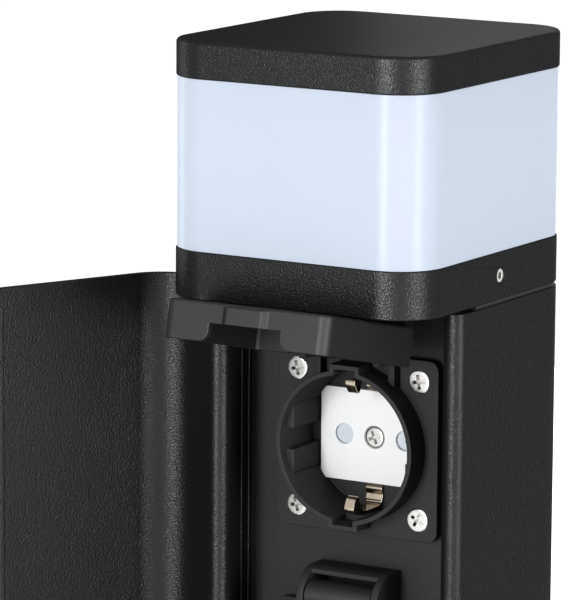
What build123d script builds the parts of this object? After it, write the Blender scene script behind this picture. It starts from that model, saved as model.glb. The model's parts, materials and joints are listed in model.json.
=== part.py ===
from build123d import *
import math
import os

# A garden socket post: an extruded housing on a foot, a lamp head on top, a barrel-hinged door
# and sockets with sprung shutters and hinged lids. Millimetres and degrees. The origin is the
# middle of the foot's underside, +Z is up and the front of the post faces -Y. The door and the
# topmost lid stand open, as at rest.

# Post outline and heights, from the ground up
post_width = 80
corner_radius = 13.5
foot_thickness = 12
seal_thickness = 1
base_height = 13
diffuser_height = 46
cap_height = 10

# General clearances, and how far a cut runs past what it cuts
part_gap = 0.3
slide_gap = 0.2
pin_gap = 0.05
overrun = 1

# Housing extrusion
wall = 2.4
nose_radius = 3.3
nose_setback = 26.9
rib_thickness = 1.5
rib_depth = 2.5
port_radius = 3.6
port_bore_radius = 1.75
port_inset_back = 8
port_inset_side = 3.4
front_port_y = 7
fixing_rib_width = 8
fixing_rib_depth = 3

# Socket panel
panel_setback = 41.5
panel_thickness = 2
gear_clearance = 8.6

# Foot plate
anchor_inset_x = 15
anchor_inset_y = 17.5
anchor_hole_radius = 3.5
channel_wall = 3.5
channel_depth = 21.5
stud_inset_x = 19
stud_setback = 33.5
stud_radius = 3
stud_height = 20
stud_seat_depth = 6
stud_nut_radius = 5.5
stud_nut_height = 5

# Cable gland in the foot
gland_setback = 24.5
gland_clearance = 9
gland_thread_radius = 10
gland_hex_radius = 13.8
gland_hex_height = 6
gland_nut_height = 14
gland_nut_lip = 2
gland_bore_radius = 7
gland_seal_radius = 9
gland_seal_height = 10
cable_radius = 5.5

# Screws
screw_radius = 1.75
screw_head_radius = 3.2
screw_head_height = 1.8
foot_screw_length = 26
foot_screw_head_radius = 4
head_screw_length = 14
rail_screw_length = 6

# Terminal rail, terminal block and lamp driver behind the panel
rail_port_gap = 0.4
rail_hole_inset = 8
rail_web_height = 25
rail_height = 35
rail_depth = 7.5
rail_thickness = 1
block_module_width = 8
block_module_count = 3
block_overlap = 3.5
block_depth = 22
block_shoulder = 7
block_hook = 2
clamp_screw_radius = 1.8
clamp_screw_height = 5
clamp_screw_inset = 10
wire_hole_radius = 2
wire_hole_depth = 8
driver_gap_share = 0.46
driver_ear_inset = 4
driver_height = 56
driver_depth = 22
driver_edge_radius = 3
driver_ear_width = 8.5
driver_ear_height = 12
driver_ear_thickness = 2

# Head plate, bracket and lamp head
head_plate_thickness = 1.5
ear_reach = 5.5
ear_inset = 0.5
wire_opening_radius = 8
bracket_thickness = 2
bracket_width = 20
bracket_height = 9
bracket_screw_x = 22
bracket_screw_y = 5
bracket_screw_length = 4.5
grub_y = 1.6
grub_radius = 1.9
grub_hex_radius = 1
grub_hex_depth = 1.6
grub_inset = 0.3
base_wall = 3
flange_lip = 6
lip_thickness = 1.5
tongue_inset = 2.4
tongue_depth = 2
gasket_thickness = 1
diffuser_inset = 0.3
diffuser_wall = 4
cap_edge_radius = 1.1
cap_skin = 3
tray_thickness = 1.5
tray_overlap = 3
board_thickness = 1.5
board_gap = 2
chip_size = 3
chip_height = 0.8
chip_pitch_x = 15
chip_pitch_y = 14
chip_columns_count = 4
chip_rows_count = 4
spacer_radius = 8
spacer_bore_radius = 6.5
tie_radius = 2.5
tie_head_radius = 4.6
tie_head_height = 3
tie_engagement = 3

# Door
door_wall = 2
door_open_angle = 114.6
door_low_gap = 1
barrel_top_gap = 1.8
door_edge_gap = 0.7
lip_gap = 0.4
lip_reach = 3.2
door_pin_radius = 1.5
door_pin_depth = 8
bush_radius = 2.4
bush_length = 8
bush_flange_radius = 3.1
catch_z = 105
catch_height = 30
catch_width = 8.6
catch_depth = 10
magnet_width = 2.6
magnet_height = 24
magnet_depth = 4
keeper_thickness = 1
keeper_depth = 7

# Sockets: the topmost hinge below the housing's top, the gap between neighbours and the bay
# below the lowest one
socket_count = 2
top_hinge_drop = 13.1
socket_gap = 9.3
lower_bay_height = 205.9

# Socket frame: outward is measured from the panel's face
flange_margin = 3.7
flange_radius = 3
flange_gasket = 0.5
flange_thickness = 2.5
frame_screw_inset = 6
frame_screw_radius = 1.5
frame_screw_head_radius = 3
frame_screw_seat_depth = 1.2
frame_screw_proud = 0.4
frame_screw_length = 7
well_radius = 19.9
well_wall = 1.4
rim_height = 10.8
well_depth = 17.2
floor_thickness = 2
floor_step = 1
key_width = 6.4
key_proud = 1.5
recess_width = 26.6
recess_depth = 1.2
guide_near = 2.9
guide_far = 9.6
guide_depth = 2.5
guide_setback = 3.5

# Insert, contacts, shutters and terminal housing
insert_width = 34
insert_height = 26
insert_chamfer = 3.5
insert_thickness = 3
pin_spacing = 19
pin_hole_radius = 2.8
insert_screw_radius = 1.5
insert_screw_head_radius = 2.4
insert_screw_head_height = 1.6
insert_screw_length = 14
housing_radius = 20.3
housing_depth = 18
shutter_width = 7.6
shutter_height = 7.6
shutter_thickness = 1.4
shutter_travel = 6.2
shutter_slope = 0.9
contact_radius = 3.1
contact_bore_radius = 2.4
contact_length = 13
contact_slit = 0.8
earth_clip_thickness = 0.6
earth_clip_width = 5.6
earth_clip_wall_gap = 0.5
earth_clip_bend = 1.2
earth_foot_length = 5.4
earth_nose_height = 2.8
earth_nose_reach = 14.4
earth_bend_reach = 9
earth_tip_reach = 2.8

# Lid and its hinge: the pin's height above the collar, and drops below the pin
axis_rise = 7.2
axis_out = 9.4
hood_width = 25
hood_radius = 8.6
hood_arc_drop = 0.9
hood_arc_out = 5.3
hood_roof = 1.2
roof_reach = 8.8
cheek_thickness = 2
cheek_low_drop = 4.7
cheek_rib_height = 5
lid_side_inset = 0.2
lid_overhang = 0.4
lid_top_drop = 6.3
lid_face_out = 15.6
lid_plate = 2
lid_skirt = 10.6
lid_wall = 2
lid_radius = 3
lid_edge_radius = 0.9
lid_open_angle = 103
lid_notch_width = 21.6
lid_notch_depth = 5
lid_notch_radius = 3
grip_width = 13.5
grip_taper = 1.5
grip_proud = 1.2
knuckle_gap = 0.3
knuckle_radius = 4.3
neck_outer_angle = 20
neck_under_angle = 76.6
hinge_pin_radius = 1.5
lid_seal_width = 2
lid_seal_groove = 0.8

# Places worked out from the sizes above
collar_radius = well_radius + well_wall
flange_size = 2 * (collar_radius + flange_margin)
screw_spacing = flange_size - 2 * frame_screw_inset
axis_up = collar_radius + axis_rise
hood_arc_up = axis_up - hood_arc_drop
cheek_low_up = axis_up - cheek_low_drop
lid_top_up = axis_up - lid_top_drop
lid_width = flange_size - 2 * lid_side_inset
lid_length = lid_top_up + flange_size / 2 + lid_overhang
top_socket_drop = top_hinge_drop + axis_up
socket_pitch = hood_arc_up + hood_radius + flange_size / 2 + socket_gap
body_height = top_socket_drop + socket_pitch * (socket_count - 1) + lower_bay_height
back_depth = wall + fixing_rib_depth + rail_depth + block_depth + gear_clearance
post_depth = panel_setback + panel_thickness + back_depth
front_y = -post_depth / 2
back_y = post_depth / 2
side_x = post_width / 2
body_low = foot_thickness
body_high = body_low + body_height
base_low = body_high + seal_thickness
base_high = base_low + base_height
diffuser_high = base_high + diffuser_height
cap_high = diffuser_high + cap_height
hinge_x = nose_radius - side_x
hinge_y = front_y + nose_setback
stop_y = hinge_y + nose_radius * math.tan(math.radians(door_open_angle / 2)) + part_gap
panel_front_y = front_y + panel_setback
panel_back_y = panel_front_y + panel_thickness
inner_x = side_x - wall
inner_back_y = back_y - wall
fixing_y = inner_back_y - fixing_rib_depth
door_low = body_low + door_low_gap
barrel_high = body_high - barrel_top_gap
leaf_high = base_low - part_gap
socket_heights = [body_high - top_socket_drop - socket_pitch * i for i in range(socket_count)]
anchor_x = side_x - anchor_inset_x
anchor_y = back_y - anchor_inset_y
stud_x = stud_inset_x - side_x
stud_y = back_y - stud_setback
gland_y = back_y - gland_setback
block_height = rail_height + 2 * block_overlap
gland_high = body_low + gland_hex_height + gland_nut_height
rail_z = gland_high + gland_clearance + block_height / 2
rail_length = 2 * (side_x - port_inset_back - port_radius - rail_port_gap)
fixing_rib_x = rail_length / 2 - rail_hole_inset
driver_width = 2 * (fixing_rib_x - driver_ear_inset)
channel_width = 2 * (anchor_x - anchor_hole_radius - channel_wall)
block_high = rail_z + block_height / 2
driver_spare = socket_heights[-1] - housing_radius - block_high - driver_height
driver_z = block_high + driver_spare * driver_gap_share + driver_height / 2
port_places = [
    (side * x, y)
    for side in (-1, 1)
    for x, y in (
        (side_x - port_inset_back, back_y - port_inset_back),
        (inner_x - port_inset_side, front_port_y),
    )
]


def slab(x0, x1, y0, y1):
    """A flat rectangle between two corners."""
    return Pos((x0 + x1) / 2, (y0 + y1) / 2) * Rectangle(abs(x1 - x0), abs(y1 - y0))


def block(x0, x1, y0, y1, z0, z1):
    """A box between two corners."""
    return Pos((x0 + x1) / 2, (y0 + y1) / 2, (z0 + z1) / 2) * Box(x1 - x0, y1 - y0, z1 - z0)


def rise(sketch, z0, z1):
    """A flat shape raised from one height to another."""
    return Pos(0, 0, z0) * extrude(sketch, amount=z1 - z0)


def post(x, y, radius, z0, z1):
    """An upright cylinder."""
    return Pos(x, y, (z0 + z1) / 2) * Cylinder(radius, z1 - z0)


def outline(inset):
    """The post's rounded outline, drawn in by an inset."""
    width = post_width - 2 * inset
    depth = post_depth - 2 * inset
    return RectangleRounded(width, depth, corner_radius - inset)


def hexagon(x, y, radius, z0, z1):
    """An upright six-sided prism, radius to its corners."""
    return rise(Pos(x, y) * RegularPolygon(radius, 6), z0, z1)


def along_y(x, y0, y1, z, radius):
    """A cylinder that runs front to back."""
    return Pos(x, (y0 + y1) / 2, z) * Rot(90, 0, 0) * Cylinder(radius, y1 - y0)


def joined(pieces):
    """Several pieces as one group."""
    return Compound(children=list(pieces))


# Foot, gland and the supply side


def countersunk(x, y, face, tip, shank, head, way):
    """A countersunk screw along Z with its flat head at one height and its tip at another."""
    cone = head - shank
    flat = Pos(x, y, face - way * cone / 2)
    if way > 0:
        return flat * Cone(shank, head, cone) + post(x, y, shank, tip, face - cone)
    return flat * Cone(head, shank, cone) + post(x, y, shank, face + cone, tip)


def foot_screw(x, y):
    return countersunk(x, y, 0, foot_screw_length, screw_radius, foot_screw_head_radius, -1)


def foot_screws():
    return joined(foot_screw(x, y) for x, y in port_places)


def foot_plate():
    """The cast foot, with ground anchor holes, a cable channel and the gland's thread."""
    body = rise(outline(0), 0, foot_thickness)
    half = channel_width / 2
    body -= block(-half, half, front_y - overrun, front_y + channel_depth, -overrun,
                  foot_thickness + overrun)
    body -= post(0, gland_y, gland_thread_radius, -overrun, foot_thickness + overrun)
    for x in (-anchor_x, anchor_x):
        for y in (-anchor_y, anchor_y):
            body -= post(x, y, anchor_hole_radius, -overrun, foot_thickness + overrun)
    for x, y in port_places:
        body -= foot_screw(x, y)
    body -= post(stud_x, stud_y, stud_radius, foot_thickness - stud_seat_depth,
                 foot_thickness + overrun)
    body -= post(hinge_x, hinge_y, door_pin_radius, foot_thickness - door_pin_depth,
                 foot_thickness + overrun)
    return body


def gland_body():
    """The gland's threaded base, in the foot."""
    top = foot_thickness + gland_hex_height
    body = post(0, gland_y, gland_thread_radius, foot_thickness - gland_hex_height, foot_thickness)
    body += hexagon(0, gland_y, gland_hex_radius, foot_thickness, top)
    body += post(0, gland_y, gland_thread_radius, top, top + gland_seal_height / 2)
    body -= post(0, gland_y, gland_bore_radius, 0, top + gland_seal_height)
    seat = post(0, gland_y, gland_seal_radius, top, top + gland_seal_height)
    return body - seat


def gland_seal():
    """The rubber sleeve that grips the supply cable."""
    low = foot_thickness + gland_hex_height
    sleeve = post(0, gland_y, gland_seal_radius, low, low + gland_seal_height)
    return sleeve - post(0, gland_y, cable_radius, low - overrun, low + gland_seal_height + overrun)


def gland_nut():
    """The domed nut that squeezes the sleeve."""
    low = foot_thickness + gland_hex_height
    high = low + gland_nut_height
    nut = hexagon(0, gland_y, gland_hex_radius, low, high - gland_nut_lip)
    nut += Pos(0, gland_y, high - gland_nut_lip / 2) * Cone(
        gland_thread_radius + gland_nut_lip, gland_seal_radius, gland_nut_lip)
    nut -= post(0, gland_y, gland_thread_radius, low - overrun, low + gland_seal_height)
    return nut - post(0, gland_y, gland_bore_radius, low, high + overrun)


def earth_stud():
    """The earthing stud and its two nuts."""
    low = foot_thickness - stud_seat_depth
    top = foot_thickness + stud_height
    nuts = []
    for z in (foot_thickness, foot_thickness + stud_nut_height + part_gap):
        nut = hexagon(stud_x, stud_y, stud_nut_radius, z, z + stud_nut_height)
        nuts.append(nut - post(stud_x, stud_y, stud_radius, low, top))
    return joined([post(stud_x, stud_y, stud_radius, low, top)] + nuts)


# Housing


def post_body():
    """The extruded housing: C-shaped wall, round nose, panel grooves, screw ports, fixing ribs."""
    skin = outline(0) - outline(wall)
    skin -= slab(0, post_width, -post_depth, hinge_y)
    skin -= slab(-post_width, 0, -post_depth, stop_y)
    skin += Pos(-hinge_x, hinge_y) * Circle(nose_radius)
    ribs = []
    bores = []
    for side in (-1, 1):
        near = side * (inner_x - rib_depth)
        far = side * (inner_x + wall / 2)
        ribs.append(slab(near, far, panel_front_y - slide_gap - rib_thickness,
                         panel_front_y - slide_gap))
        ribs.append(slab(near, far, panel_back_y + slide_gap,
                         panel_back_y + slide_gap + rib_thickness))
        x = side * fixing_rib_x
        ribs.append(slab(x - fixing_rib_width / 2, x + fixing_rib_width / 2, fixing_y,
                         inner_back_y + wall / 2))
    for x, y in port_places:
        ribs.append(Pos(x, y) * Circle(port_radius))
        bores.append(post(x, y, port_bore_radius, body_low - overrun, body_high))
    body = rise(skin, body_low, body_high)
    for rib in ribs:
        body += rise(rib, body_low, body_high - head_plate_thickness)
    for bore in bores:
        body -= bore
    for x, z in fixing_places():
        body -= along_y(x, fixing_y - overrun, fixing_y + rail_screw_length - rail_thickness, z,
                        screw_radius)
    for side in (-1, 1):
        x = side * fixing_rib_x
        body -= along_y(x, fixing_y - overrun, fixing_y + rail_screw_length - rail_thickness,
                        rail_z, screw_radius)
    return body


def socket_panel():
    """The flat panel that slides down the housing's grooves and carries the sockets."""
    half = inner_x - slide_gap
    low = body_low + slide_gap
    high = body_high - head_plate_thickness - slide_gap
    panel = block(-half, half, panel_front_y, panel_back_y, low, high)
    for z in socket_heights:
        panel -= along_y(0, panel_front_y - overrun, panel_back_y + overrun, z,
                         collar_radius + slide_gap)
        for x, up in frame_screw_places():
            panel -= along_y(x, panel_front_y - overrun, panel_back_y + overrun, z + up,
                             frame_screw_radius)
    return panel


# What hangs on the back wall


def fixing_places():
    """Where the lamp driver is screwed to the back wall's ribs, as x and z."""
    return [(-fixing_rib_x, driver_z), (fixing_rib_x, driver_z)]


def terminal_rail():
    """A top-hat rail across the two fixing ribs."""
    half = rail_length / 2
    web = rail_web_height / 2
    hat = rail_height / 2
    front = fixing_y - rail_depth
    rail = block(-half, half, fixing_y - rail_thickness, fixing_y, rail_z - web, rail_z + web)
    for side in (-1, 1):
        inner, outer = sorted((rail_z + side * web, rail_z + side * (web - rail_thickness)))
        rail += block(-half, half, front, fixing_y, inner, outer)
        low, high = sorted((rail_z + side * (web - rail_thickness), rail_z + side * hat))
        rail += block(-half, half, front, front + rail_thickness, low, high)
    for side in (-1, 1):
        rail -= along_y(side * fixing_rib_x, fixing_y - rail_depth, fixing_y + overrun, rail_z,
                        screw_radius)
    return rail


def back_screw(x, z, seat_y):
    """A pan-head screw into a fixing rib, with its head against a face that looks forward."""
    head = along_y(x, seat_y - screw_head_height, seat_y, z, screw_head_radius)
    return head + along_y(x, seat_y, seat_y + rail_screw_length, z, screw_radius)


def mounting_screws():
    rail = [back_screw(side * fixing_rib_x, rail_z, fixing_y - rail_thickness) for side in (-1, 1)]
    driver = [back_screw(x, z, fixing_y - driver_ear_thickness) for x, z in fixing_places()]
    return joined(rail + driver)


def clamp_places():
    """The clamp screws of the terminal block, as x and z."""
    first = -block_module_width * (block_module_count - 1) / 2
    rise_z = block_height / 2 - clamp_screw_inset
    return [
        (first + block_module_width * i, rail_z + side * rise_z)
        for i in range(block_module_count)
        for side in (-1, 1)
    ]


def terminal_block():
    """The supply terminals, stepped at top and bottom, hooked over the rail."""
    half = block_module_width * block_module_count / 2
    back = fixing_y - rail_depth
    front = back - block_depth
    tall = block_height / 2
    body = block(-half, half, front, back, rail_z - tall + block_shoulder,
                 rail_z + tall - block_shoulder)
    body += block(-half, half, front + block_shoulder, back, rail_z - tall, rail_z + tall)
    hook_root = rail_height / 2 + slide_gap
    for side in (-1, 1):
        low, high = sorted((rail_z + side * hook_root, rail_z + side * (hook_root + block_hook)))
        body += block(-half, half, back - overrun, back + rail_thickness + block_hook, low, high)
        low, high = sorted((rail_z + side * tall, rail_z + side * (tall - wire_hole_depth)))
        for x, _ in clamp_places():
            body -= post(x, front + block_depth / 2, wire_hole_radius, low, high)
    for x, z in clamp_places():
        body -= along_y(x, front - overrun, front + clamp_screw_height, z, clamp_screw_radius)
    for i in range(1, block_module_count):
        x = -half + block_module_width * i
        body -= block(x - slide_gap / 2, x + slide_gap / 2, front - overrun,
                      front + block_shoulder / 2, rail_z - tall, rail_z + tall)
    return body


def terminal_screws():
    front = fixing_y - rail_depth - block_depth
    return joined(
        along_y(x, front + clamp_screw_height / 3, front + clamp_screw_height, z, clamp_screw_radius)
        for x, z in clamp_places()
    )


def led_driver():
    """The lamp's sealed driver, with an ear each side on the fixing ribs."""
    shell = RectangleRounded(driver_width, driver_height, driver_edge_radius)
    body = Pos(0, fixing_y, driver_z) * Rot(90, 0, 0) * extrude(shell, amount=driver_depth)
    for side in (-1, 1):
        near, far = sorted((side * driver_width / 2, side * (driver_width / 2 + driver_ear_width)))
        ear = block(near, far, fixing_y - driver_ear_thickness, fixing_y,
                    driver_z - driver_ear_height / 2, driver_z + driver_ear_height / 2)
        body += ear
    for x, z in fixing_places():
        body -= along_y(x, fixing_y - driver_ear_thickness - overrun, fixing_y + overrun, z,
                        screw_radius)
    return body


# Head plate and lamp head


def head_screw(x, y):
    return countersunk(x, y, body_high, body_high - head_screw_length, screw_radius,
                       screw_radius + head_plate_thickness, 1)


def bracket_screw(x):
    seat = body_high + bracket_thickness
    y = bracket_screw_y
    head = post(x, y, screw_head_radius, seat, seat + screw_head_height)
    return head + post(x, y, screw_radius, seat - bracket_screw_length, seat)


def head_screws():
    plate = [head_screw(x, y) for x, y in port_places]
    return joined(plate + [bracket_screw(side * bracket_screw_x) for side in (-1, 1)])


def head_plate():
    """The plate let into the top of the housing, with an ear for the door's upper pin."""
    plate = outline(wall + slide_gap)
    plate -= slab(-post_width, post_width, -post_depth, stop_y)
    plate -= Pos(-hinge_x, hinge_y) * Circle(nose_radius + slide_gap)
    ear = Pos(hinge_x, hinge_y) * Circle(nose_radius)
    ear += slab(hinge_x + ear_inset, hinge_x + ear_reach, hinge_y, stop_y + ear_reach)
    body = rise(plate + ear, body_high - head_plate_thickness, body_high)
    body -= post(hinge_x, hinge_y, door_pin_radius, barrel_high, body_high + overrun)
    body -= post(0, gland_y, wire_opening_radius, body_low, body_high + overrun)
    for x, y in port_places:
        body -= head_screw(x, y)
    for side in (-1, 1):
        body -= post(side * bracket_screw_x, bracket_screw_y, screw_radius, body_low, body_high + overrun)
    return body


def head_seal():
    """The flat joint that keeps rain out between the housing and the lamp base."""
    ring = outline(2 * part_gap) - outline(base_wall)
    ring -= slab(-post_width, post_width, -post_depth, stop_y)
    return rise(ring, body_high, base_low)


def bracket_tab_x():
    """The outer face of the bracket's tabs, just inside the lamp base's wall."""
    return side_x - base_wall - part_gap


def head_bracket():
    """The U-shaped bracket that the lamp base's grub screws bite on."""
    far = bracket_tab_x()
    half = bracket_width / 2
    top = body_high + bracket_height
    body = block(-far, far, -half, half, body_high, body_high + bracket_thickness)
    for side in (-1, 1):
        near, out = sorted((side * far, side * (far - bracket_thickness)))
        body += block(near, out, -half, half, body_high, top)
        body -= post(side * bracket_screw_x, bracket_screw_y, screw_radius, body_high - overrun, top)
    return body


def grub_z():
    return base_low + base_height / 2


def grub_screws():
    """The hex-socket screws in the sides of the lamp base."""
    screws = []
    for side in (-1, 1):
        length = side_x - grub_inset - bracket_tab_x()
        middle = side * (bracket_tab_x() + length / 2)
        turn = Pos(middle, grub_y, grub_z()) * Rot(0, side * 90, 0)
        screw = turn * Cylinder(grub_radius, length)
        socket = extrude(RegularPolygon(grub_hex_radius, 6), amount=grub_hex_depth)
        screws.append(screw - turn * Pos(0, 0, length / 2 - grub_hex_depth) * socket)
    return joined(screws)


def tongue(inset):
    """The outline of the diffuser's tongue, drawn in by an inset."""
    return outline(tongue_inset + inset)


def seat_low():
    """The underside of the lower gasket, on the lamp base's inner lip."""
    return base_high - tongue_depth - gasket_thickness


def lamp_base():
    """The lamp head's lower ring, open below, with an inner lip that the diffuser stands on."""
    low_lip = seat_low() - lip_thickness
    body = rise(outline(0), base_low, base_high)
    body -= rise(outline(base_wall), base_low - overrun, low_lip)
    body -= rise(outline(base_wall + flange_lip), low_lip - overrun, base_high + overrun)
    body -= rise(tongue(-slide_gap), seat_low(), base_high + overrun)
    for side in (-1, 1):
        turn = Pos(side * side_x, grub_y, grub_z()) * Rot(0, 90, 0)
        body -= turn * Cylinder(grub_radius, 2 * base_wall + 2 * overrun)
    return body


def gasket_ring(low):
    ring = tongue(0) - outline(diffuser_inset + diffuser_wall)
    return rise(ring, low, low + gasket_thickness)


def lower_gasket():
    return gasket_ring(seat_low())


def upper_gasket():
    return gasket_ring(diffuser_high + tongue_depth)


def diffuser():
    """The opal sleeve, stepped to a tongue at each end."""
    body = rise(outline(diffuser_inset), base_high, diffuser_high)
    body += rise(tongue(0), base_high - tongue_depth, diffuser_high + tongue_depth)
    bore = outline(diffuser_inset + diffuser_wall)
    return body - rise(bore, base_high - tongue_depth - overrun, diffuser_high + tongue_depth + overrun)


def lamp_cap():
    """The lid of the lamp head, with a groove for the diffuser and a boss for the tie rod."""
    seat = diffuser_high + tongue_depth + gasket_thickness
    body = rise(outline(0), diffuser_high, cap_high)
    body = fillet(body.edges().group_by(Axis.Z)[-1], cap_edge_radius)
    body -= rise(tongue(-slide_gap), diffuser_high - overrun, seat)
    body -= rise(outline(base_wall + flange_lip), diffuser_high, cap_high - cap_skin)
    body += post(0, 0, spacer_radius, seat, cap_high - cap_skin)
    return body - post(0, 0, tie_radius, seat - overrun, seat + tie_engagement)


def tray_low():
    return seat_low() - lip_thickness - tray_thickness


def led_tray():
    """The plate under the lamp base's lip that carries the light board and the tie rod."""
    inset = base_wall + flange_lip - tray_overlap
    body = rise(outline(inset), tray_low(), tray_low() + tray_thickness)
    return body - post(0, 0, tie_radius, tray_low() - overrun, base_high)


def led_board():
    low = tray_low() + tray_thickness
    body = rise(outline(base_wall + flange_lip + board_gap), low, low + board_thickness)
    return body - post(0, 0, spacer_radius + slide_gap, low - overrun, base_high)


def led_chips():
    """The light chips, in rows on the board, clear of the spacer tube."""
    low = tray_low() + tray_thickness + board_thickness
    chips = []
    for i in range(chip_columns_count):
        for j in range(chip_rows_count):
            x = chip_pitch_x * (i - (chip_columns_count - 1) / 2)
            y = chip_pitch_y * (j - (chip_rows_count - 1) / 2)
            if math.hypot(x, y) > spacer_radius + chip_size:
                chips.append(Pos(x, y, low + chip_height / 2) * Box(chip_size, chip_size, chip_height))
    return joined(chips)


def spacer_tube():
    low = tray_low() + tray_thickness
    high = diffuser_high + tongue_depth + gasket_thickness
    return post(0, 0, spacer_radius, low, high) - post(0, 0, spacer_bore_radius, low, high)


def tie_rod():
    """The long screw that clamps cap, diffuser and base together."""
    top = diffuser_high + tongue_depth + gasket_thickness + tie_engagement
    head = hexagon(0, 0, tie_head_radius, tray_low() - tie_head_height, tray_low())
    return head + post(0, 0, tie_radius, tray_low(), top)


# Door: drawn shut, then swung open about its barrel


def swung(shape):
    """A piece of the shut door, moved to where it stands when the door is open."""
    return Pos(hinge_x, hinge_y, 0) * Rot(0, 0, -door_open_angle) * Pos(-hinge_x, -hinge_y, 0) * shape


def lip_x():
    """The outer face of the inner lip at the door's free edge."""
    return side_x - 2 * nose_radius - lip_gap


def door_edge_y():
    return hinge_y - nose_radius - door_edge_gap


def door():
    """The C-shaped door with its hinge barrel, its inner closing lip and a notch for the ear."""
    skin = outline(0) - outline(door_wall)
    skin -= slab(-post_width, 0, hinge_y, post_depth)
    skin -= slab(0, post_width, door_edge_y(), post_depth)
    skin += Pos(hinge_x, hinge_y) * Circle(nose_radius)
    inner = lip_x() - door_wall
    skin += slab(inner, side_x - door_wall / 2, door_edge_y() - door_wall, door_edge_y())
    skin += slab(inner, lip_x(), door_edge_y() - door_wall, door_edge_y() + lip_reach)
    body = rise(skin, door_low, leaf_high)
    body -= post(hinge_x, hinge_y, nose_radius + part_gap, barrel_high, base_low)
    for low in (door_low, barrel_high - bush_length):
        body -= post(hinge_x, hinge_y, bush_radius, low - part_gap, low + bush_length + part_gap)
    return swung(body)


def door_bushes():
    """Plastic bushes in the ends of the barrel; the lower one has a flange to run on."""
    lower = post(hinge_x, hinge_y, bush_radius, door_low, door_low + bush_length)
    lower += post(hinge_x, hinge_y, bush_flange_radius, door_low - door_low_gap + slide_gap, door_low)
    upper = post(hinge_x, hinge_y, bush_radius, barrel_high - bush_length, barrel_high)
    bore = post(hinge_x, hinge_y, door_pin_radius + pin_gap, foot_thickness, body_high)
    return swung(joined([lower - bore, upper - bore]))


def door_pins():
    """The pivot pins, one fixed in the foot and one in the head plate's ear."""
    low = post(hinge_x, hinge_y, door_pin_radius, foot_thickness - door_pin_depth,
               door_low + bush_length)
    high = post(hinge_x, hinge_y, door_pin_radius, barrel_high - bush_length, body_high)
    return joined([low, high])


def door_keeper():
    """The steel strip on the door's lip that the magnet holds."""
    inner = lip_x() - door_wall
    back = door_edge_y() + lip_reach + slide_gap
    strip = block(inner - keeper_thickness, inner, back - keeper_depth, back,
                  catch_z - catch_height / 2, catch_z + catch_height / 2)
    return swung(strip)


def door_catch():
    """The magnetic catch behind the nose of the right-hand wall."""
    front = door_edge_y() + lip_reach + slide_gap + part_gap
    low = catch_z - catch_height / 2
    high = catch_z + catch_height / 2
    left = inner_x - catch_width
    body = block(left, inner_x, front, front + catch_depth, low, high)
    body -= post(-hinge_x, hinge_y, nose_radius + slide_gap, low - overrun, high + overrun)
    middle = left + catch_width / 4
    magnet = block(middle - magnet_width / 2, middle + magnet_width / 2, front,
                   front + magnet_depth, catch_z - magnet_height / 2, catch_z + magnet_height / 2)
    return joined([body - magnet, magnet])


# Sockets: drawn about their own middle, x across, y up and z outward from the panel's face

side_plane = Plane(origin=(0, 0, 0), x_dir=(0, 0, 1), z_dir=(-1, 0, 0))


def mounted(shape, height):
    """A socket piece, moved to its place on the panel at a height."""
    face = Plane(origin=(0, panel_front_y, height), x_dir=(1, 0, 0), z_dir=(0, -1, 0))
    return face.location * shape


def across(sketch, x0, x1):
    """A side view, drawn outward and up, given a width from x0 to x1."""
    return Pos((x0 + x1) / 2, 0, 0) * extrude(side_plane * sketch, amount=(x1 - x0) / 2, both=True)


def frame_screw_places():
    half = screw_spacing / 2
    return [(x, y) for x in (-half, half) for y in (-half, half)]


def flange_face():
    return flange_gasket + flange_thickness


def floor_face():
    """The front of the well's floor, behind the insert's face."""
    return rim_height - well_depth - floor_step


def hood_disc(radius):
    return Pos(hood_arc_out, hood_arc_up) * Circle(radius)


def cheek_profile():
    """Side view of a hinge cheek: round in front, square towards the panel."""
    heel = slab(0, hood_arc_out, cheek_low_up, hood_arc_up + hood_radius)
    profile = hood_disc(hood_radius) + heel
    profile -= slab(-hood_width, hood_width, 0, cheek_low_up)
    profile -= slab(-hood_width, 0, 0, 2 * hood_arc_up)
    return profile - slab(0, flange_gasket, 0, flange_size / 2)


def roof_profile():
    """Side view of the hood's roof: flat from the panel, then curving down to its front edge."""
    inner = hood_radius - hood_roof
    shape = hood_disc(hood_radius) - hood_disc(inner)
    shape &= slab(hood_arc_out, roof_reach, hood_arc_up, 2 * hood_arc_up)
    return shape + slab(0, hood_arc_out, hood_arc_up + inner, hood_arc_up + hood_radius)


def hinge_hood():
    """Cheeks, roof and the two ribs that run down to the collar."""
    half = hood_width / 2
    hood = across(roof_profile(), -half, half)
    for side in (-1, 1):
        near, far = sorted((side * half, side * (half - cheek_thickness)))
        hood += across(cheek_profile(), near, far)
        hood += block(near, far, well_radius / 2, cheek_low_up, flange_gasket, cheek_rib_height)
    return hood - across(Pos(axis_out, axis_up) * Circle(hinge_pin_radius), -half, half)


def key_box(width, top, low, high):
    """A block through the collar's twelve and six o'clock positions."""
    return block(-width / 2, width / 2, -top, top, low, high)


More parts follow.
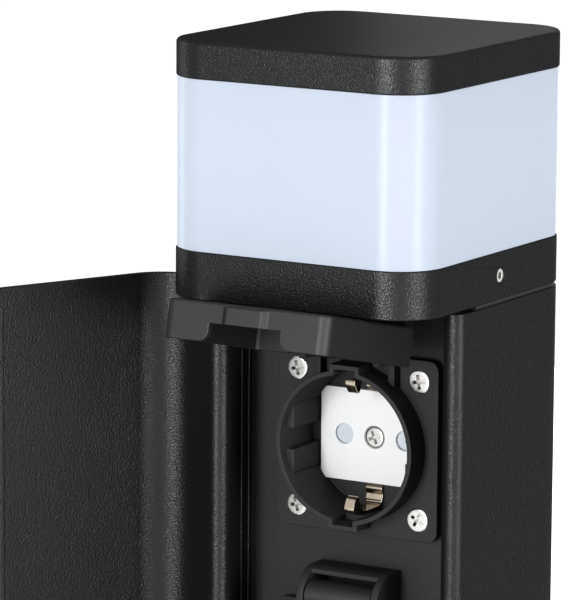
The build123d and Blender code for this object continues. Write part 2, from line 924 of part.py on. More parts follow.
def socket_frame():
    """Flange, collar with its key notches, well, guide blocks and hinge hood."""
    outer = collar_radius
    back = floor_face() - floor_thickness
    half_recess = recess_width / 2
    body = rise(RectangleRounded(flange_size, flange_size, flange_radius), flange_gasket, flange_face())
    body -= block(-half_recess, half_recess, well_radius / 2, flange_size,
                  flange_face() - recess_depth, flange_face() + overrun)
    body += hinge_hood()
    body += key_box(key_width + 2 * well_wall, outer + key_proud, flange_gasket, rim_height)
    body += post(0, 0, outer, back, rim_height)
    body -= post(0, 0, well_radius, floor_face(), rim_height + overrun)
    body -= key_box(key_width, well_radius + key_proud, flange_face(), rim_height + overrun)
    body -= block(-insert_width / 2, insert_width / 2, -insert_height / 2, insert_height / 2,
                  back - overrun, floor_face() + overrun)
    for side in (-1, 1):
        for low, high in ((guide_near, guide_far), (-guide_far, -guide_near)):
            near, far = sorted((side * (well_radius - guide_depth), side * well_radius))
            guide = block(near, far, low, high, floor_face(), rim_height - guide_setback)
            body += guide & post(0, 0, well_radius + well_wall / 2, floor_face(), rim_height)
    for x, y in frame_screw_places():
        body -= post(x, y, frame_screw_radius, flange_gasket - overrun, flange_face())
        body -= post(x, y, frame_screw_head_radius + slide_gap,
                     flange_face() - frame_screw_seat_depth, flange_face() + overrun)
    return body


def flange_gasket_ring():
    """The flat gasket under the flange."""
    sheet = rise(RectangleRounded(flange_size, flange_size, flange_radius), 0, flange_gasket)
    sheet -= post(0, 0, collar_radius, -overrun, overrun)
    for x, y in frame_screw_places():
        sheet -= post(x, y, frame_screw_radius, -overrun, overrun)
    return sheet


def frame_screws():
    """The pan-head screws at the flange's corners."""
    seat = flange_face() - frame_screw_seat_depth
    top = flange_face() + frame_screw_proud
    screws = []
    for x, y in frame_screw_places():
        head = post(x, y, frame_screw_head_radius, seat, top)
        head = chamfer(head.edges().group_by(Axis.Z)[-1], frame_screw_proud)
        screws.append(head + post(x, y, frame_screw_radius, seat - frame_screw_length, seat))
    return joined(screws)


def insert_face():
    return floor_face() + floor_step


def pin_places():
    return [(-pin_spacing / 2, 0), (pin_spacing / 2, 0)]


def socket_insert():
    """The white plate with the pin holes and the middle screw's seat."""
    low = insert_face() - insert_thickness
    width = insert_width - slide_gap
    height = insert_height - slide_gap
    plate = Rectangle(width, height)
    plate = chamfer(plate.vertices(), insert_chamfer)
    body = rise(plate, low, insert_face())
    for x, y in pin_places():
        body -= post(x, y, pin_hole_radius, low - overrun, insert_face() + overrun)
    body -= post(0, 0, insert_screw_radius, low - overrun, insert_face())
    return body - post(0, 0, insert_screw_head_radius, insert_face() - insert_screw_head_height,
                       insert_face() + overrun)


def insert_screw():
    """The middle screw, which draws the terminal housing up to the frame."""
    seat = insert_face() - insert_screw_head_height
    head = post(0, 0, insert_screw_head_radius, seat, insert_face())
    return head + post(0, 0, insert_screw_radius, seat - insert_screw_length, seat)


def earth_clip_profile():
    """Side view of an earth clip: foot, run along the wall, contact nose and turned-out tip."""
    along = well_radius - earth_clip_wall_gap - earth_clip_thickness / 2
    foot = floor_face() + earth_clip_thickness / 2
    nose = floor_face() + earth_nose_reach
    line = FilletPolyline(
        (foot, along - earth_foot_length),
        (foot, along),
        (floor_face() + earth_bend_reach, along),
        (nose, along - earth_nose_height),
        (nose + earth_tip_reach, along - earth_nose_height / 2),
        radius=earth_clip_bend,
    )
    return trace(line, earth_clip_thickness)


def earth_clips():
    """The two sprung earth contacts, above and below."""
    half = earth_clip_width / 2
    upper = across(earth_clip_profile(), -half, half)
    return joined([upper, Rot(0, 0, 180) * upper])


def shutter_low():
    """The back of the insert, where the shutters slide."""
    return insert_face() - insert_thickness


def terminal_housing():
    """The round housing behind the well, with shutter pockets and contact bores."""
    top = shutter_low()
    low = top - housing_depth
    body = post(0, 0, housing_radius, low, top)
    pocket_back = top - shutter_thickness - 2 * slide_gap
    for x, _ in pin_places():
        half = shutter_width / 2 + slide_gap
        body -= block(x - half, x + half, -shutter_height / 2 - slide_gap,
                      shutter_height / 2 + shutter_travel + slide_gap, pocket_back, top + overrun)
        body -= post(x, 0, contact_radius, pocket_back - contact_length, top)
        body -= post(x, 0, wire_hole_radius, low - overrun, top)
    return body - post(0, 0, insert_screw_radius, top - insert_screw_length, top + overrun)


def shutter(x):
    """A sliding shutter with a sloped lead-in that its pin pushes up."""
    top = shutter_low() - slide_gap
    half = shutter_width / 2
    tall = shutter_height / 2
    plate = block(x - half, x + half, -tall, tall, top - shutter_thickness, top)
    slope = Plane(origin=(0, 0, 0), x_dir=(0, 0, 1), z_dir=(-1, 0, 0))
    cut = Polyline((top, -tall), (top, 0), (top - shutter_slope, -tall), close=True)
    return plate - Pos(x, 0, 0) * extrude(slope * make_face(cut), amount=half, both=True)


def socket_contacts():
    """The slit brass sleeves that grip the plug's pins."""
    high = shutter_low() - shutter_thickness - 2 * slide_gap
    low = high - contact_length
    sleeves = []
    for x, y in pin_places():
        sleeve = post(x, y, contact_radius, low, high)
        sleeve -= post(x, y, contact_bore_radius, low + contact_slit, high + overrun)
        slit = block(x - contact_slit / 2, x + contact_slit / 2, y - contact_radius,
                     y + contact_radius, low + contact_radius, high + overrun)
        sleeves.append(sleeve - slit)
    return joined(sleeves)


# Lid: drawn shut


def polar(radius, drop):
    """A point about the hinge pin, its angle measured down from straight outward."""
    turn = math.radians(drop)
    return (axis_out + radius * math.cos(turn), axis_up - radius * math.sin(turn))


def lid_knuckle():
    """The round knuckle on the pin and the neck that joins it to the lid's top edge."""
    inner = lid_face_out - lid_plate
    neck = Polyline(
        polar(knuckle_radius, neck_outer_angle),
        (lid_face_out, lid_top_up),
        (inner, lid_top_up - lid_plate),
        polar(knuckle_radius, neck_under_angle),
        (axis_out, axis_up),
        close=True,
    )
    profile = Pos(axis_out, axis_up) * Circle(knuckle_radius) + make_face(neck)
    profile -= Pos(axis_out, axis_up) * Circle(hinge_pin_radius + pin_gap)
    half = hood_width / 2 - cheek_thickness - knuckle_gap
    return across(profile, -half, half)


def lid_shell():
    """The skirted plate of the lid, open towards the socket."""
    low = lid_face_out - lid_skirt
    middle = lid_top_up - lid_length / 2
    outer = Pos(0, middle) * RectangleRounded(lid_width, lid_length, lid_radius)
    inner = Pos(0, middle) * RectangleRounded(
        lid_width - 2 * lid_wall, lid_length - 2 * lid_wall, lid_radius - lid_wall)
    shell = rise(outer, low, lid_face_out)
    shell = fillet(shell.edges().group_by(Axis.Z)[-1], lid_edge_radius)
    return shell - rise(inner, low - overrun, lid_face_out - lid_plate)


def lid_notches(shell):
    """The gap in the skirt round the hood, and the finger notch in the free end."""
    low = lid_face_out - lid_skirt
    inner = lid_face_out - lid_plate
    half = hood_width / 2 + 2 * part_gap
    free = lid_top_up - lid_length
    shell -= block(-half, half, lid_top_up - 2 * lid_wall, lid_top_up + overrun, low - overrun, inner)
    half = lid_notch_width / 2
    shell -= block(-half, half, free - overrun, free + 2 * lid_wall, low - overrun,
                   low + lid_notch_depth)
    corners = [
        e for e in shell.edges().filter_by(Axis.Y)
        if abs(abs(e.center().X) - half) < slide_gap and abs(e.center().Z - low) < slide_gap
        and e.center().Y < free + 2 * lid_wall
    ]
    return fillet(corners, lid_notch_radius)


def grip_bar():
    """The raised bar at the lid's free end."""
    free = lid_top_up - lid_length
    root = grip_width / 2
    tip = root - grip_taper
    low = lid_face_out - lid_skirt + lid_notch_depth
    section = Polyline((-root, free), (-tip, free - grip_proud), (tip, free - grip_proud),
                       (root, free), (root, free + lid_wall / 2), (-root, free + lid_wall / 2),
                       close=True)
    return rise(make_face(section), low, lid_face_out - lid_edge_radius)


def seal_radii():
    """Inner and outer radius of the lid's seal, over the collar's rim."""
    middle = well_radius + well_wall / 2
    return middle - lid_seal_width / 2, middle + lid_seal_width / 2


def seal_ring(low, high):
    inner, outer = seal_radii()
    return post(0, 0, outer, low, high) - post(0, 0, inner, low - overrun, high + overrun)


def lid():
    """A whole lid, shut."""
    inner = lid_face_out - lid_plate
    shell = lid_notches(lid_shell())
    shell = shell + grip_bar() + lid_knuckle()
    return shell - seal_ring(inner - lid_plate, inner + lid_seal_groove)


def lid_seal():
    """The ring that meets the collar's rim, held in the lid's groove."""
    return seal_ring(rim_height + part_gap, lid_face_out - lid_plate + lid_seal_groove)


def hinge_pin():
    half = hood_width / 2
    return across(Pos(axis_out, axis_up) * Circle(hinge_pin_radius), -half, half)


def lifted(shape):
    """A piece of a shut lid, moved to where it stands when the lid is open."""
    hinge = Pos(0, axis_up, axis_out)
    back = Pos(0, -axis_up, -axis_out)
    return hinge * Rot(-lid_open_angle, 0, 0) * back * shape


def socket_pieces(number, height):
    """All the pieces of one socket, by name; the topmost lid stands open."""
    lid_pieces = {"flap_lid": lid(), "flap_seal": lid_seal()}
    if number == 1:
        lid_pieces = {name: lifted(shape) for name, shape in lid_pieces.items()}
    left, right = pin_places()
    pieces = {
        "socket_frame": socket_frame(),
        "socket_gasket": flange_gasket_ring(),
        "frame_screws": frame_screws(),
        "socket_insert": socket_insert(),
        "insert_screw": insert_screw(),
        "earth_clips": earth_clips(),
        "shutter_left": shutter(left[0]),
        "shutter_right": shutter(right[0]),
        "socket_contacts": socket_contacts(),
        "terminal_housing": terminal_housing(),
        "flap_pin": hinge_pin(),
        **lid_pieces,
    }
    return {f"{name}_{number}": mounted(shape, height) for name, shape in pieces.items()}


def all_pieces():
    """Every piece of the post, by name."""
    makers = [
        foot_plate, foot_screws, gland_body, gland_seal, gland_nut, earth_stud, post_body,
        socket_panel, terminal_rail, terminal_block, terminal_screws, mounting_screws, led_driver,
        head_plate, head_screws, head_seal, head_bracket, lamp_base, grub_screws, lower_gasket,
        diffuser, upper_gasket, lamp_cap, led_tray, led_board, led_chips, spacer_tube, tie_rod,
        door, door_bushes, door_pins, door_keeper, door_catch,
    ]
    pieces = {maker.__name__: maker() for maker in makers}
    for i, height in enumerate(socket_heights):
        pieces.update(socket_pieces(i + 1, height))
    return pieces


os.makedirs("parts", exist_ok=True)
for name, shape in all_pieces().items():
    export_step(shape, f"parts/{name}.step")
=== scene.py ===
"""Looks of a garden socket post: coated metal, moulded sockets, lids and an opal light head."""

import json
import logging
import math
from dataclasses import dataclass, fields
from enum import Enum

import bmesh
import bpy
from mathutils import Matrix, Vector


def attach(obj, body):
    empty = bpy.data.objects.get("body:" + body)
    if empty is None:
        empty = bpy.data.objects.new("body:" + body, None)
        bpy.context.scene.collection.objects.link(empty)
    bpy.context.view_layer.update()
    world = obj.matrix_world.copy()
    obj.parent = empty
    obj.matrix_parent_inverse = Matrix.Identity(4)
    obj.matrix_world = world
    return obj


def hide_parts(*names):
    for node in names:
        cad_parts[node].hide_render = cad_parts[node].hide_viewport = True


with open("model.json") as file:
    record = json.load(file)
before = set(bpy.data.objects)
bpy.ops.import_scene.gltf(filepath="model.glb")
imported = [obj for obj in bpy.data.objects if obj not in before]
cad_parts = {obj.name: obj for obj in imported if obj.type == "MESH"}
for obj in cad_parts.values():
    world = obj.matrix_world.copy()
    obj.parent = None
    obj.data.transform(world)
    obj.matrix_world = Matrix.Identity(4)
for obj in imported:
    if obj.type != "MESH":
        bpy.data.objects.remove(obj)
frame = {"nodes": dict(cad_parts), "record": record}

log = logging.getLogger("socket_post")

MM = 0.001
WELD_DISTANCE = 0.002 * MM
# Angles in degrees: what counts as flat, as an edge to round and as a crease of a screw
FLAT_ANGLE = 0.4
ROUNDED_ANGLE = 32.0
CREASE_ANGLE = 35.0
LARGE_FACE_WEIGHT = 100
ROUND_FACETS = 56
WHITE = (1.0, 1.0, 1.0)
BLACK = (0.0, 0.0, 0.0)
Colour = tuple[float, float, float]
Point = tuple[float, float, float]


def node_box(node: str) -> tuple[Vector, Vector]:
    """Gives the lowest and highest corner of a CAD node, in metres.

    Args:
        node: the node's name.

    Returns:
        The two corners.
    """
    item = frame["nodes"][node]
    points = [item.matrix_world @ vertex.co for vertex in item.data.vertices]
    return (Vector([min(p[i] for p in points) for i in range(3)]),
            Vector([max(p[i] for p in points) for i in range(3)]))


def new_object(name: str, data: bpy.types.ID) -> bpy.types.Object:
    """Makes an object and links it to the scene.

    Args:
        name: the object's name.
        data: its mesh, lamp or camera.

    Returns:
        The object.
    """
    item = bpy.data.objects.new(name, data)
    bpy.context.scene.collection.objects.link(item)
    return item


# Node trees, and the shader groups that several finishes share


class NodeWeb:
    """A node tree that is filled from left to right."""

    def __init__(self, tree: bpy.types.NodeTree) -> None:
        """Starts on a tree, which is emptied first."""
        self.tree = tree
        self.tree.nodes.clear()

    def add(self, kind: str, settings: dict | None = None, **values: object) -> bpy.types.Node:
        """Adds a node.

        Args:
            kind: the node's type name.
            settings: properties of the node itself.
            **values: what goes into its inputs, by input name with _ for a space.

        Returns:
            The new node.
        """
        node = self.tree.nodes.new(kind)
        for name, value in (settings or {}).items():
            setattr(node, name, value)
        for name, value in values.items():
            self.feed(node, name.replace("_", " "), value)
        return node

    def feed(self, node: bpy.types.Node, name: str | int, value: object) -> None:
        """Links or sets one input of a node.

        Args:
            node: the node.
            name: the input's name or number.
            value: an output socket, a number, a colour or a vector.
        """
        socket = node.inputs[name]
        if isinstance(value, bpy.types.NodeSocket):
            self.tree.links.new(value, socket)
        elif isinstance(value, tuple) and socket.type == "RGBA":
            socket.default_value = (*value, 1.0)
        else:
            socket.default_value = value

    def math(self, operation: str, first: object, second: object = 0.0) -> bpy.types.NodeSocket:
        """Adds a math node on two numbers or sockets.

        Args:
            operation: the node's operation.
            first: a socket or number.
            second: a socket or number.

        Returns:
            The node's result.
        """
        node = self.add("ShaderNodeMath", {"operation": operation})
        self.feed(node, 0, first)
        self.feed(node, 1, second)
        return node.outputs[0]

    def vector(self, x: object, y: object, z: object) -> bpy.types.NodeSocket:
        """Makes a vector of three sockets or numbers."""
        return self.add("ShaderNodeCombineXYZ", X=x, Y=y, Z=z).outputs[0]

    def blend(self, share: object, low: object, high: object) -> bpy.types.NodeSocket:
        """Mixes two colours.

        Args:
            share: how much of the second colour, as a socket or number.
            low: the first colour.
            high: the second colour.

        Returns:
            The mixed colour.
        """
        node = self.add("ShaderNodeMix", {"data_type": "RGBA"})
        for number, value in ((0, share), (6, low), (7, high)):
            self.feed(node, number, value)
        return node.outputs[2]

    def background_rays(self) -> bpy.types.NodeSocket:
        """Gives 1 where the background is seen, straight, in gloss or through glass, and else 0."""
        rays = self.add("ShaderNodeLightPath").outputs
        seen = self.math("MAXIMUM", rays["Is Camera Ray"], rays["Is Glossy Ray"])
        return self.math("MAXIMUM", seen, rays["Is Transmission Ray"])


class ShaderGroup(NodeWeb):
    """A shader group that reads a Vector and numbers, and puts out numbers."""

    def __init__(self, name: str, numbers: dict[str, float], results: tuple[str, ...]) -> None:
        """Makes the group with its sockets.

        Args:
            name: the group's name.
            numbers: default values of its number inputs.
            results: the names of its outputs.
        """
        super().__init__(bpy.data.node_groups.new(name, "ShaderNodeTree"))
        face = self.tree.interface
        face.new_socket(name="Vector", in_out="INPUT", socket_type="NodeSocketVector")
        for label, value in numbers.items():
            socket = face.new_socket(name=label, in_out="INPUT", socket_type="NodeSocketFloat")
            socket.default_value = value
        for label in results:
            face.new_socket(name=label, in_out="OUTPUT", socket_type="NodeSocketFloat")
        self.given = self.add("NodeGroupInput").outputs

    def noise(self, scale: bpy.types.NodeSocket, **values: object) -> bpy.types.NodeSocket:
        """Adds a noise texture, read at the group's Vector unless another is given.

        Args:
            scale: the texture's scale.
            **values: its other inputs.

        Returns:
            The noise.
        """
        values = {"Vector": self.given["Vector"], "Scale": scale, **values}
        return self.add("ShaderNodeTexNoise", **values).outputs[0]

    def close(self, **results: bpy.types.NodeSocket) -> bpy.types.NodeTree:
        """Puts out the results and gives the finished tree."""
        self.add("NodeGroupOutput", **results)
        return self.tree


def coating_grain_group() -> bpy.types.NodeTree:
    """Builds the pebbled surface of a textured powder coat: small joined domes and pits.

    Returns:
        A group that puts out Height, Speckle and Drift.
    """
    dome_height, pit_depth, pit_scale = 0.6, 0.7, 0.55
    web = ShaderGroup("CoatingGrain", {"Grain Scale": 1500.0, "Drift Scale": 25.0},
                      ("Height", "Speckle", "Drift"))
    scale = web.given["Grain Scale"]
    cells = web.add("ShaderNodeTexVoronoi", {"feature": "SMOOTH_F1"}, Vector=web.given["Vector"],
                    Scale=scale, Smoothness=0.6)
    domes = web.math("SUBTRACT", 1.0, cells.outputs["Distance"])
    pits = web.noise(web.math("MULTIPLY", scale, pit_scale), Detail=2.0, Roughness=0.6)
    return web.close(
        Height=web.math("ADD", web.math("MULTIPLY", domes, dome_height),
                        web.math("MULTIPLY", pits, pit_depth)),
        Speckle=web.noise(scale, Detail=1.0, Roughness=0.5),
        Drift=web.noise(web.given["Drift Scale"], Detail=3.0, Roughness=0.55),
    )


def moulding_grain_group() -> bpy.types.NodeTree:
    """Builds the spark-eroded skin of a moulded plastic, with faint flow marks.

    Returns:
        A group that puts out Height, Flow and Smudge.
    """
    flow_scale = 0.4
    web = ShaderGroup("MouldingGrain", {"Grain Scale": 3000.0, "Smudge Scale": 60.0},
                      ("Height", "Flow", "Smudge"))
    scale = web.given["Smudge Scale"]
    flow = web.add("ShaderNodeTexWave", Vector=web.given["Vector"],
                   Scale=web.math("MULTIPLY", scale, flow_scale), Distortion=9.0, Detail=2.0)
    return web.close(
        Height=web.noise(web.given["Grain Scale"], Detail=2.0, Roughness=0.7),
        Flow=flow.outputs[1],
        Smudge=web.noise(scale, Detail=4.0, Roughness=0.6, Distortion=0.4),
    )


def metal_marks_group() -> bpy.types.NodeTree:
    """Builds the marks of drawn or plated metal: fine lines, stains and small pits.

    Returns:
        A group that puts out Height, Lines and Stain.
    """
    stain_height = 0.5
    web = ShaderGroup("MetalMarks",
                      {"Line Scale": 900.0, "Line Stretch": 12.0, "Stain Scale": 220.0},
                      ("Height", "Lines", "Stain"))
    drawn = web.add("ShaderNodeVectorMath", {"operation": "MULTIPLY"})
    web.feed(drawn, 0, web.given["Vector"])
    web.feed(drawn, 1, web.vector(1.0, 1.0, web.given["Line Stretch"]))
    lines = web.noise(web.given["Line Scale"], Vector=drawn.outputs[0], Detail=3.0, Roughness=0.6)
    stain = web.noise(web.given["Stain Scale"], Detail=5.0, Roughness=0.65, Distortion=0.6)
    height = web.math("ADD", lines, web.math("MULTIPLY", stain, stain_height))
    return web.close(Height=height, Lines=lines, Stain=stain)


class SharedGroups:
    """The shader groups, each built once."""

    def __init__(self) -> None:
        """Builds the groups."""
        self.coating = coating_grain_group()
        self.moulding = moulding_grain_group()
        self.metal = metal_marks_group()


GROUPS = SharedGroups()


# Finishes


@dataclass(frozen=True)
class Finish:
    """What every finish has. Spreads are from least to most, and depths in metres."""

    name: str
    colour: Colour
    roughness: float = 0.5
    roughness_spread: float = 0.1
    shade_spread: float = 0.08
    sheen_level: float = 0.4
    sheen_fall: float = 3.0
    grain_scale: float = 3000.0
    grain_strength: float = 0.15
    grain_depth: float = 0.05 * MM

    def start(self, tree: bpy.types.NodeTree, **values: float) -> tuple[
            bpy.types.Material, NodeWeb, bpy.types.Node, bpy.types.bpy_prop_collection]:
        """Makes a material with a shader and one of the shared groups.

        Args:
            tree: the group, which is read at object coordinates.
            **values: the group's number inputs, with _ for a space.

        Returns:
            The material, its web, its shader and the group's outputs.
        """
        material = bpy.data.materials.new(self.name)
        material.use_nodes = True
        web = NodeWeb(material.node_tree)
        shader = web.add("ShaderNodeBsdfPrincipled")
        web.add("ShaderNodeOutputMaterial", Surface=shader.outputs[0])
        place = web.add("ShaderNodeTexCoord").outputs["Object"]
        marks = web.add("ShaderNodeGroup", {"node_tree": tree}, Vector=place, **values)
        return material, web, shader, marks.outputs

    def shades(self, web: NodeWeb, share: bpy.types.NodeSocket) -> bpy.types.NodeSocket:
        """Varies the colour a little over the surface.

        Args:
            web: the material's web.
            share: where the lighter shade shows.

        Returns:
            The varied colour.
        """
        low = tuple(c * (1 - self.shade_spread) for c in self.colour)
        high = tuple(c * (1 + self.shade_spread) for c in self.colour)
        return web.blend(share, low, high)

    def surface(self, web: NodeWeb, shader: bpy.types.Node, colour: bpy.types.NodeSocket,
                rougher: bpy.types.NodeSocket, height: bpy.types.NodeSocket) -> None:
        """Gives the shader its colour, its roughness about a middle value and its grain.

        Args:
            web: the material's web.
            shader: the shader.
            colour: the colour.
            rougher: where the surface is rougher.
            height: the grain's height.
        """
        rough = web.math("ADD", self.roughness - self.roughness_spread / 2,
                         web.math("MULTIPLY", rougher, self.roughness_spread))
        grain = web.add("ShaderNodeBump", Height=height, Strength=self.grain_strength,
                        Distance=self.grain_depth)
        web.feed(shader, "Base Color", colour)
        web.feed(shader, "Roughness", rough)
        web.feed(shader, "Normal", grain.outputs[0])

    def matt_gloss(self, web: NodeWeb, shader: bpy.types.Node) -> None:
        """Lets the gloss fade where the surface is seen at a low angle, as on a fine texture.

        Args:
            web: the material's web.
            shader: the shader.
        """
        away = web.add("ShaderNodeLayerWeight", Blend=0.5).outputs["Facing"]
        facing = web.math("POWER", web.math("SUBTRACT", 1.0, away), self.sheen_fall)
        web.feed(shader, "Specular IOR Level", web.math("MULTIPLY", facing, self.sheen_level))


@dataclass(frozen=True)
class PowderCoat(Finish):
    """A textured powder coat on metal, with a few lighter flecks."""

    roughness: float = 0.26
    roughness_spread: float = 0.05
    shade_spread: float = 0.18
    sheen_level: float = 0.335
    sheen_fall: float = 3.8
    grain_scale: float = 2500.0
    grain_strength: float = 0.9
    grain_depth: float = 0.15 * MM
    fleck_start: float = 0.68
    fleck_share: float = 0.3
    fleck_gain: float = 1.5

    def material(self) -> bpy.types.Material:
        """Builds the material.

        Returns:
            The material.
        """
        material, web, shader, marks = self.start(GROUPS.coating, Grain_Scale=self.grain_scale)
        fleck = web.math("GREATER_THAN", marks["Speckle"], self.fleck_start)
        lighter = tuple(c * self.fleck_gain for c in self.colour)
        colour = web.blend(web.math("MULTIPLY", fleck, self.fleck_share),
                           self.shades(web, marks["Drift"]), lighter)
        self.surface(web, shader, colour, marks["Drift"], marks["Height"])
        self.matt_gloss(web, shader)
        return material


@dataclass(frozen=True)
class MouldedPlastic(Finish):
    """A moulded plastic, from smooth to spark-eroded."""

    roughness: float = 0.45
    roughness_spread: float = 0.14
    flow_height: float = 0.04

    def material(self) -> bpy.types.Material:
        """Builds the material.

        Returns:
            The material.
        """
        material, web, shader, marks = self.start(GROUPS.moulding, Grain_Scale=self.grain_scale)
        flow = web.math("MULTIPLY", marks["Flow"], self.flow_height)
        self.surface(web, shader, self.shades(web, marks["Smudge"]), marks["Smudge"],
                     web.math("ADD", marks["Height"], flow))
        self.matt_gloss(web, shader)
        return material


@dataclass(frozen=True)
class OpalPlastic(Finish):
    """Opal acrylic, lit from within and dimmer towards the upper and lower edge of its sleeve."""

    sleeve: str = "diffuser"
    roughness: float = 0.24
    roughness_spread: float = 0.08
    shade_spread: float = 0.03
    sheen_level: float = 0.16
    sheen_fall: float = 2.0
    grain_scale: float = 900.0
    smudge_scale: float = 14.0
    grain_strength: float = 0.06
    grain_depth: float = 0.3 * MM
    glow: float = 0.6
    edge_dimming: float = 0.16
    milk: float = 0.25
    milk_tint: Colour = (0.9, 0.95, 1.0)
    milk_depth: float = 4.0 * MM

    def material(self) -> bpy.types.Material:
        """Builds the material.

        Returns:
            The material.
        """
        material, web, shader, marks = self.start(
            GROUPS.moulding, Grain_Scale=self.grain_scale, Smudge_Scale=self.smudge_scale)
        low, high = node_box(self.sleeve)
        place = web.add("ShaderNodeTexCoord").outputs["Object"]
        height = web.add("ShaderNodeSeparateXYZ", Vector=place).outputs["Z"]
        away = web.math("DIVIDE", web.math("SUBTRACT", height, (low.z + high.z) / 2),
                        (high.z - low.z) / 2)
        dimmed = web.math("MULTIPLY", web.math("MULTIPLY", away, away), self.edge_dimming)
        for name, value in (
            ("Subsurface Weight", self.milk),
            ("Subsurface Radius", self.milk_tint),
            ("Subsurface Scale", self.milk_depth),
            ("Emission Color", web.blend(dimmed, self.colour, BLACK)),
            ("Emission Strength", self.glow),
        ):
            web.feed(shader, name, value)
        self.surface(web, shader, self.shades(web, marks["Smudge"]), marks["Height"],
                     marks["Smudge"])
        self.matt_gloss(web, shader)
        return material


@dataclass(frozen=True)
class BareMetal(Finish):
    """Plated, drawn or mill-finished metal."""

    roughness: float = 0.28
    roughness_spread: float = 0.2
    shade_spread: float = 0.25
    grain_scale: float = 900.0
    grain_strength: float = 0.12
    grain_depth: float = 0.04 * MM

    def material(self) -> bpy.types.Material:
        """Builds the material.

        Returns:
            The material.
        """
        material, web, shader, marks = self.start(GROUPS.metal, Line_Scale=self.grain_scale)
        web.feed(shader, "Metallic", 1.0)
        self.surface(web, shader, self.shades(web, marks["Stain"]), marks["Lines"],
                     marks["Height"])
        return material


@dataclass(frozen=True)
class Rubber(Finish):
    """Soft black sealing rubber with a bloom of dust."""

    roughness: float = 0.8
    sheen_level: float = 0.3
    grain_scale: float = 2200.0
    smudge_scale: float = 300.0
    grain_strength: float = 0.2
    grain_depth: float = 0.06 * MM
    dust_gain: float = 0.03
    dust_share: float = 0.4

    def material(self) -> bpy.types.Material:
        """Builds the material.

        Returns:
            The material.
        """
        material, web, shader, marks = self.start(
            GROUPS.moulding, Grain_Scale=self.grain_scale, Smudge_Scale=self.smudge_scale)
        dusty = tuple(c + self.dust_gain for c in self.colour)
        dust = web.math("MULTIPLY", marks["Smudge"], self.dust_share)
        web.feed(shader, "Specular IOR Level", self.sheen_level)
        self.surface(web, shader, web.blend(dust, self.colour, dusty), marks["Smudge"],
                     marks["Height"])
        return material


class Slot(Enum):
    """The record's material slots."""

    BLACK_METAL = "black_metal"
    PANEL_METAL = "panel_metal"
    CAST_BLACK = "cast_black"
    FRAME_PLASTIC = "frame_plastic"
    LID_PLASTIC = "lid_plastic"
    WHITE_PLASTIC = "white_plastic"
    SHUTTER_PLASTIC = "shutter_plastic"
    GREY_PLASTIC = "grey_plastic"
    OPAL = "opal"
    BLACK_PLASTIC = "black_plastic"
    RUBBER = "rubber"
    ZINC_STEEL = "zinc_steel"
    SPRING_METAL = "spring_metal"
    BRASS = "brass"
    ALUMINIUM = "aluminium"
    BOARD = "board"
    CHIP = "chip"


FINISHES: dict[Slot, Finish] = {
    Slot.BLACK_METAL: PowderCoat("coat_black", (0.0078, 0.0081, 0.0089)),
    Slot.PANEL_METAL: PowderCoat("coat_panel", (0.0175, 0.0178, 0.0190), roughness=0.5,
                                 grain_strength=0.6),
    Slot.CAST_BLACK: PowderCoat("coat_casting", (0.0120, 0.0123, 0.0132), roughness=0.55,
                                grain_scale=1300.0),
    Slot.FRAME_PLASTIC: MouldedPlastic("moulding_dark", (0.0235, 0.0238, 0.0250), roughness=0.5,
                                       grain_strength=0.3, sheen_level=0.2),
    Slot.LID_PLASTIC: MouldedPlastic("moulding_lid", (0.0165, 0.0170, 0.0184), roughness=0.5,
                                     sheen_level=0.52, sheen_fall=4.5, grain_strength=0.12),
    Slot.WHITE_PLASTIC: MouldedPlastic("moulding_white", (0.84, 0.85, 0.86), roughness=0.35,
                                       shade_spread=0.02, grain_strength=0.08),
    Slot.SHUTTER_PLASTIC: MouldedPlastic("moulding_shutter", (0.59, 0.635, 0.675), roughness=0.3,
                                         shade_spread=0.04),
    Slot.GREY_PLASTIC: MouldedPlastic("moulding_grey", (0.20, 0.20, 0.21), roughness=0.5),
    Slot.OPAL: OpalPlastic("opal_acrylic", (0.335, 0.375, 0.437)),
    Slot.BLACK_PLASTIC: MouldedPlastic("moulding_black", (0.012, 0.012, 0.013), roughness=0.5),
    Slot.RUBBER: Rubber("seal_rubber", (0.012, 0.012, 0.013)),
    Slot.ZINC_STEEL: BareMetal("zinc_steel", (0.56, 0.552, 0.54), roughness=0.24),
    Slot.SPRING_METAL: BareMetal("spring_bronze", (0.47, 0.40, 0.32), roughness=0.16,
                                 shade_spread=0.45),
    Slot.BRASS: BareMetal("brass", (0.72, 0.53, 0.25), roughness=0.3),
    Slot.ALUMINIUM: BareMetal("aluminium", (0.75, 0.75, 0.76), roughness=0.4),
    Slot.BOARD: MouldedPlastic("board_white", (0.72, 0.73, 0.72), roughness=0.4),
    Slot.CHIP: MouldedPlastic("phosphor", (0.80, 0.62, 0.18), roughness=0.3),
}


class Paints:
    """The materials, each built once, when first asked for."""

    def __init__(self) -> None:
        """Starts with none built."""
        self.made: dict[Slot, bpy.types.Material] = {}

    def get(self, slot: Slot) -> bpy.types.Material:
        """Gives a slot's material.

        Args:
            slot: the record's slot.

        Returns:
            The material.
        """
        if slot not in self.made:
            self.made[slot] = FINISHES[slot].material()
        return self.made[slot]


PAINTS = Paints()


def slot_of(node: str) -> Slot:
    """Gives the record's slot of a CAD node.

    Args:
        node: the node's name.

    Returns:
        Its slot.
    """
    rows = frame["record"]["subparts"]
    return Slot(next(r["material_slot"] for r in rows if r["node"] == node))


def body_of(node: str) -> str:
    """Gives the CAD body that a node belongs to.

    Args:
        node: the node's name.

    Returns:
        The body's name.
    """
    bodies = frame["record"]["behaviour"]["bodies"]
    return next(body for body, nodes in bodies.items() if node in nodes)


# Making pieces


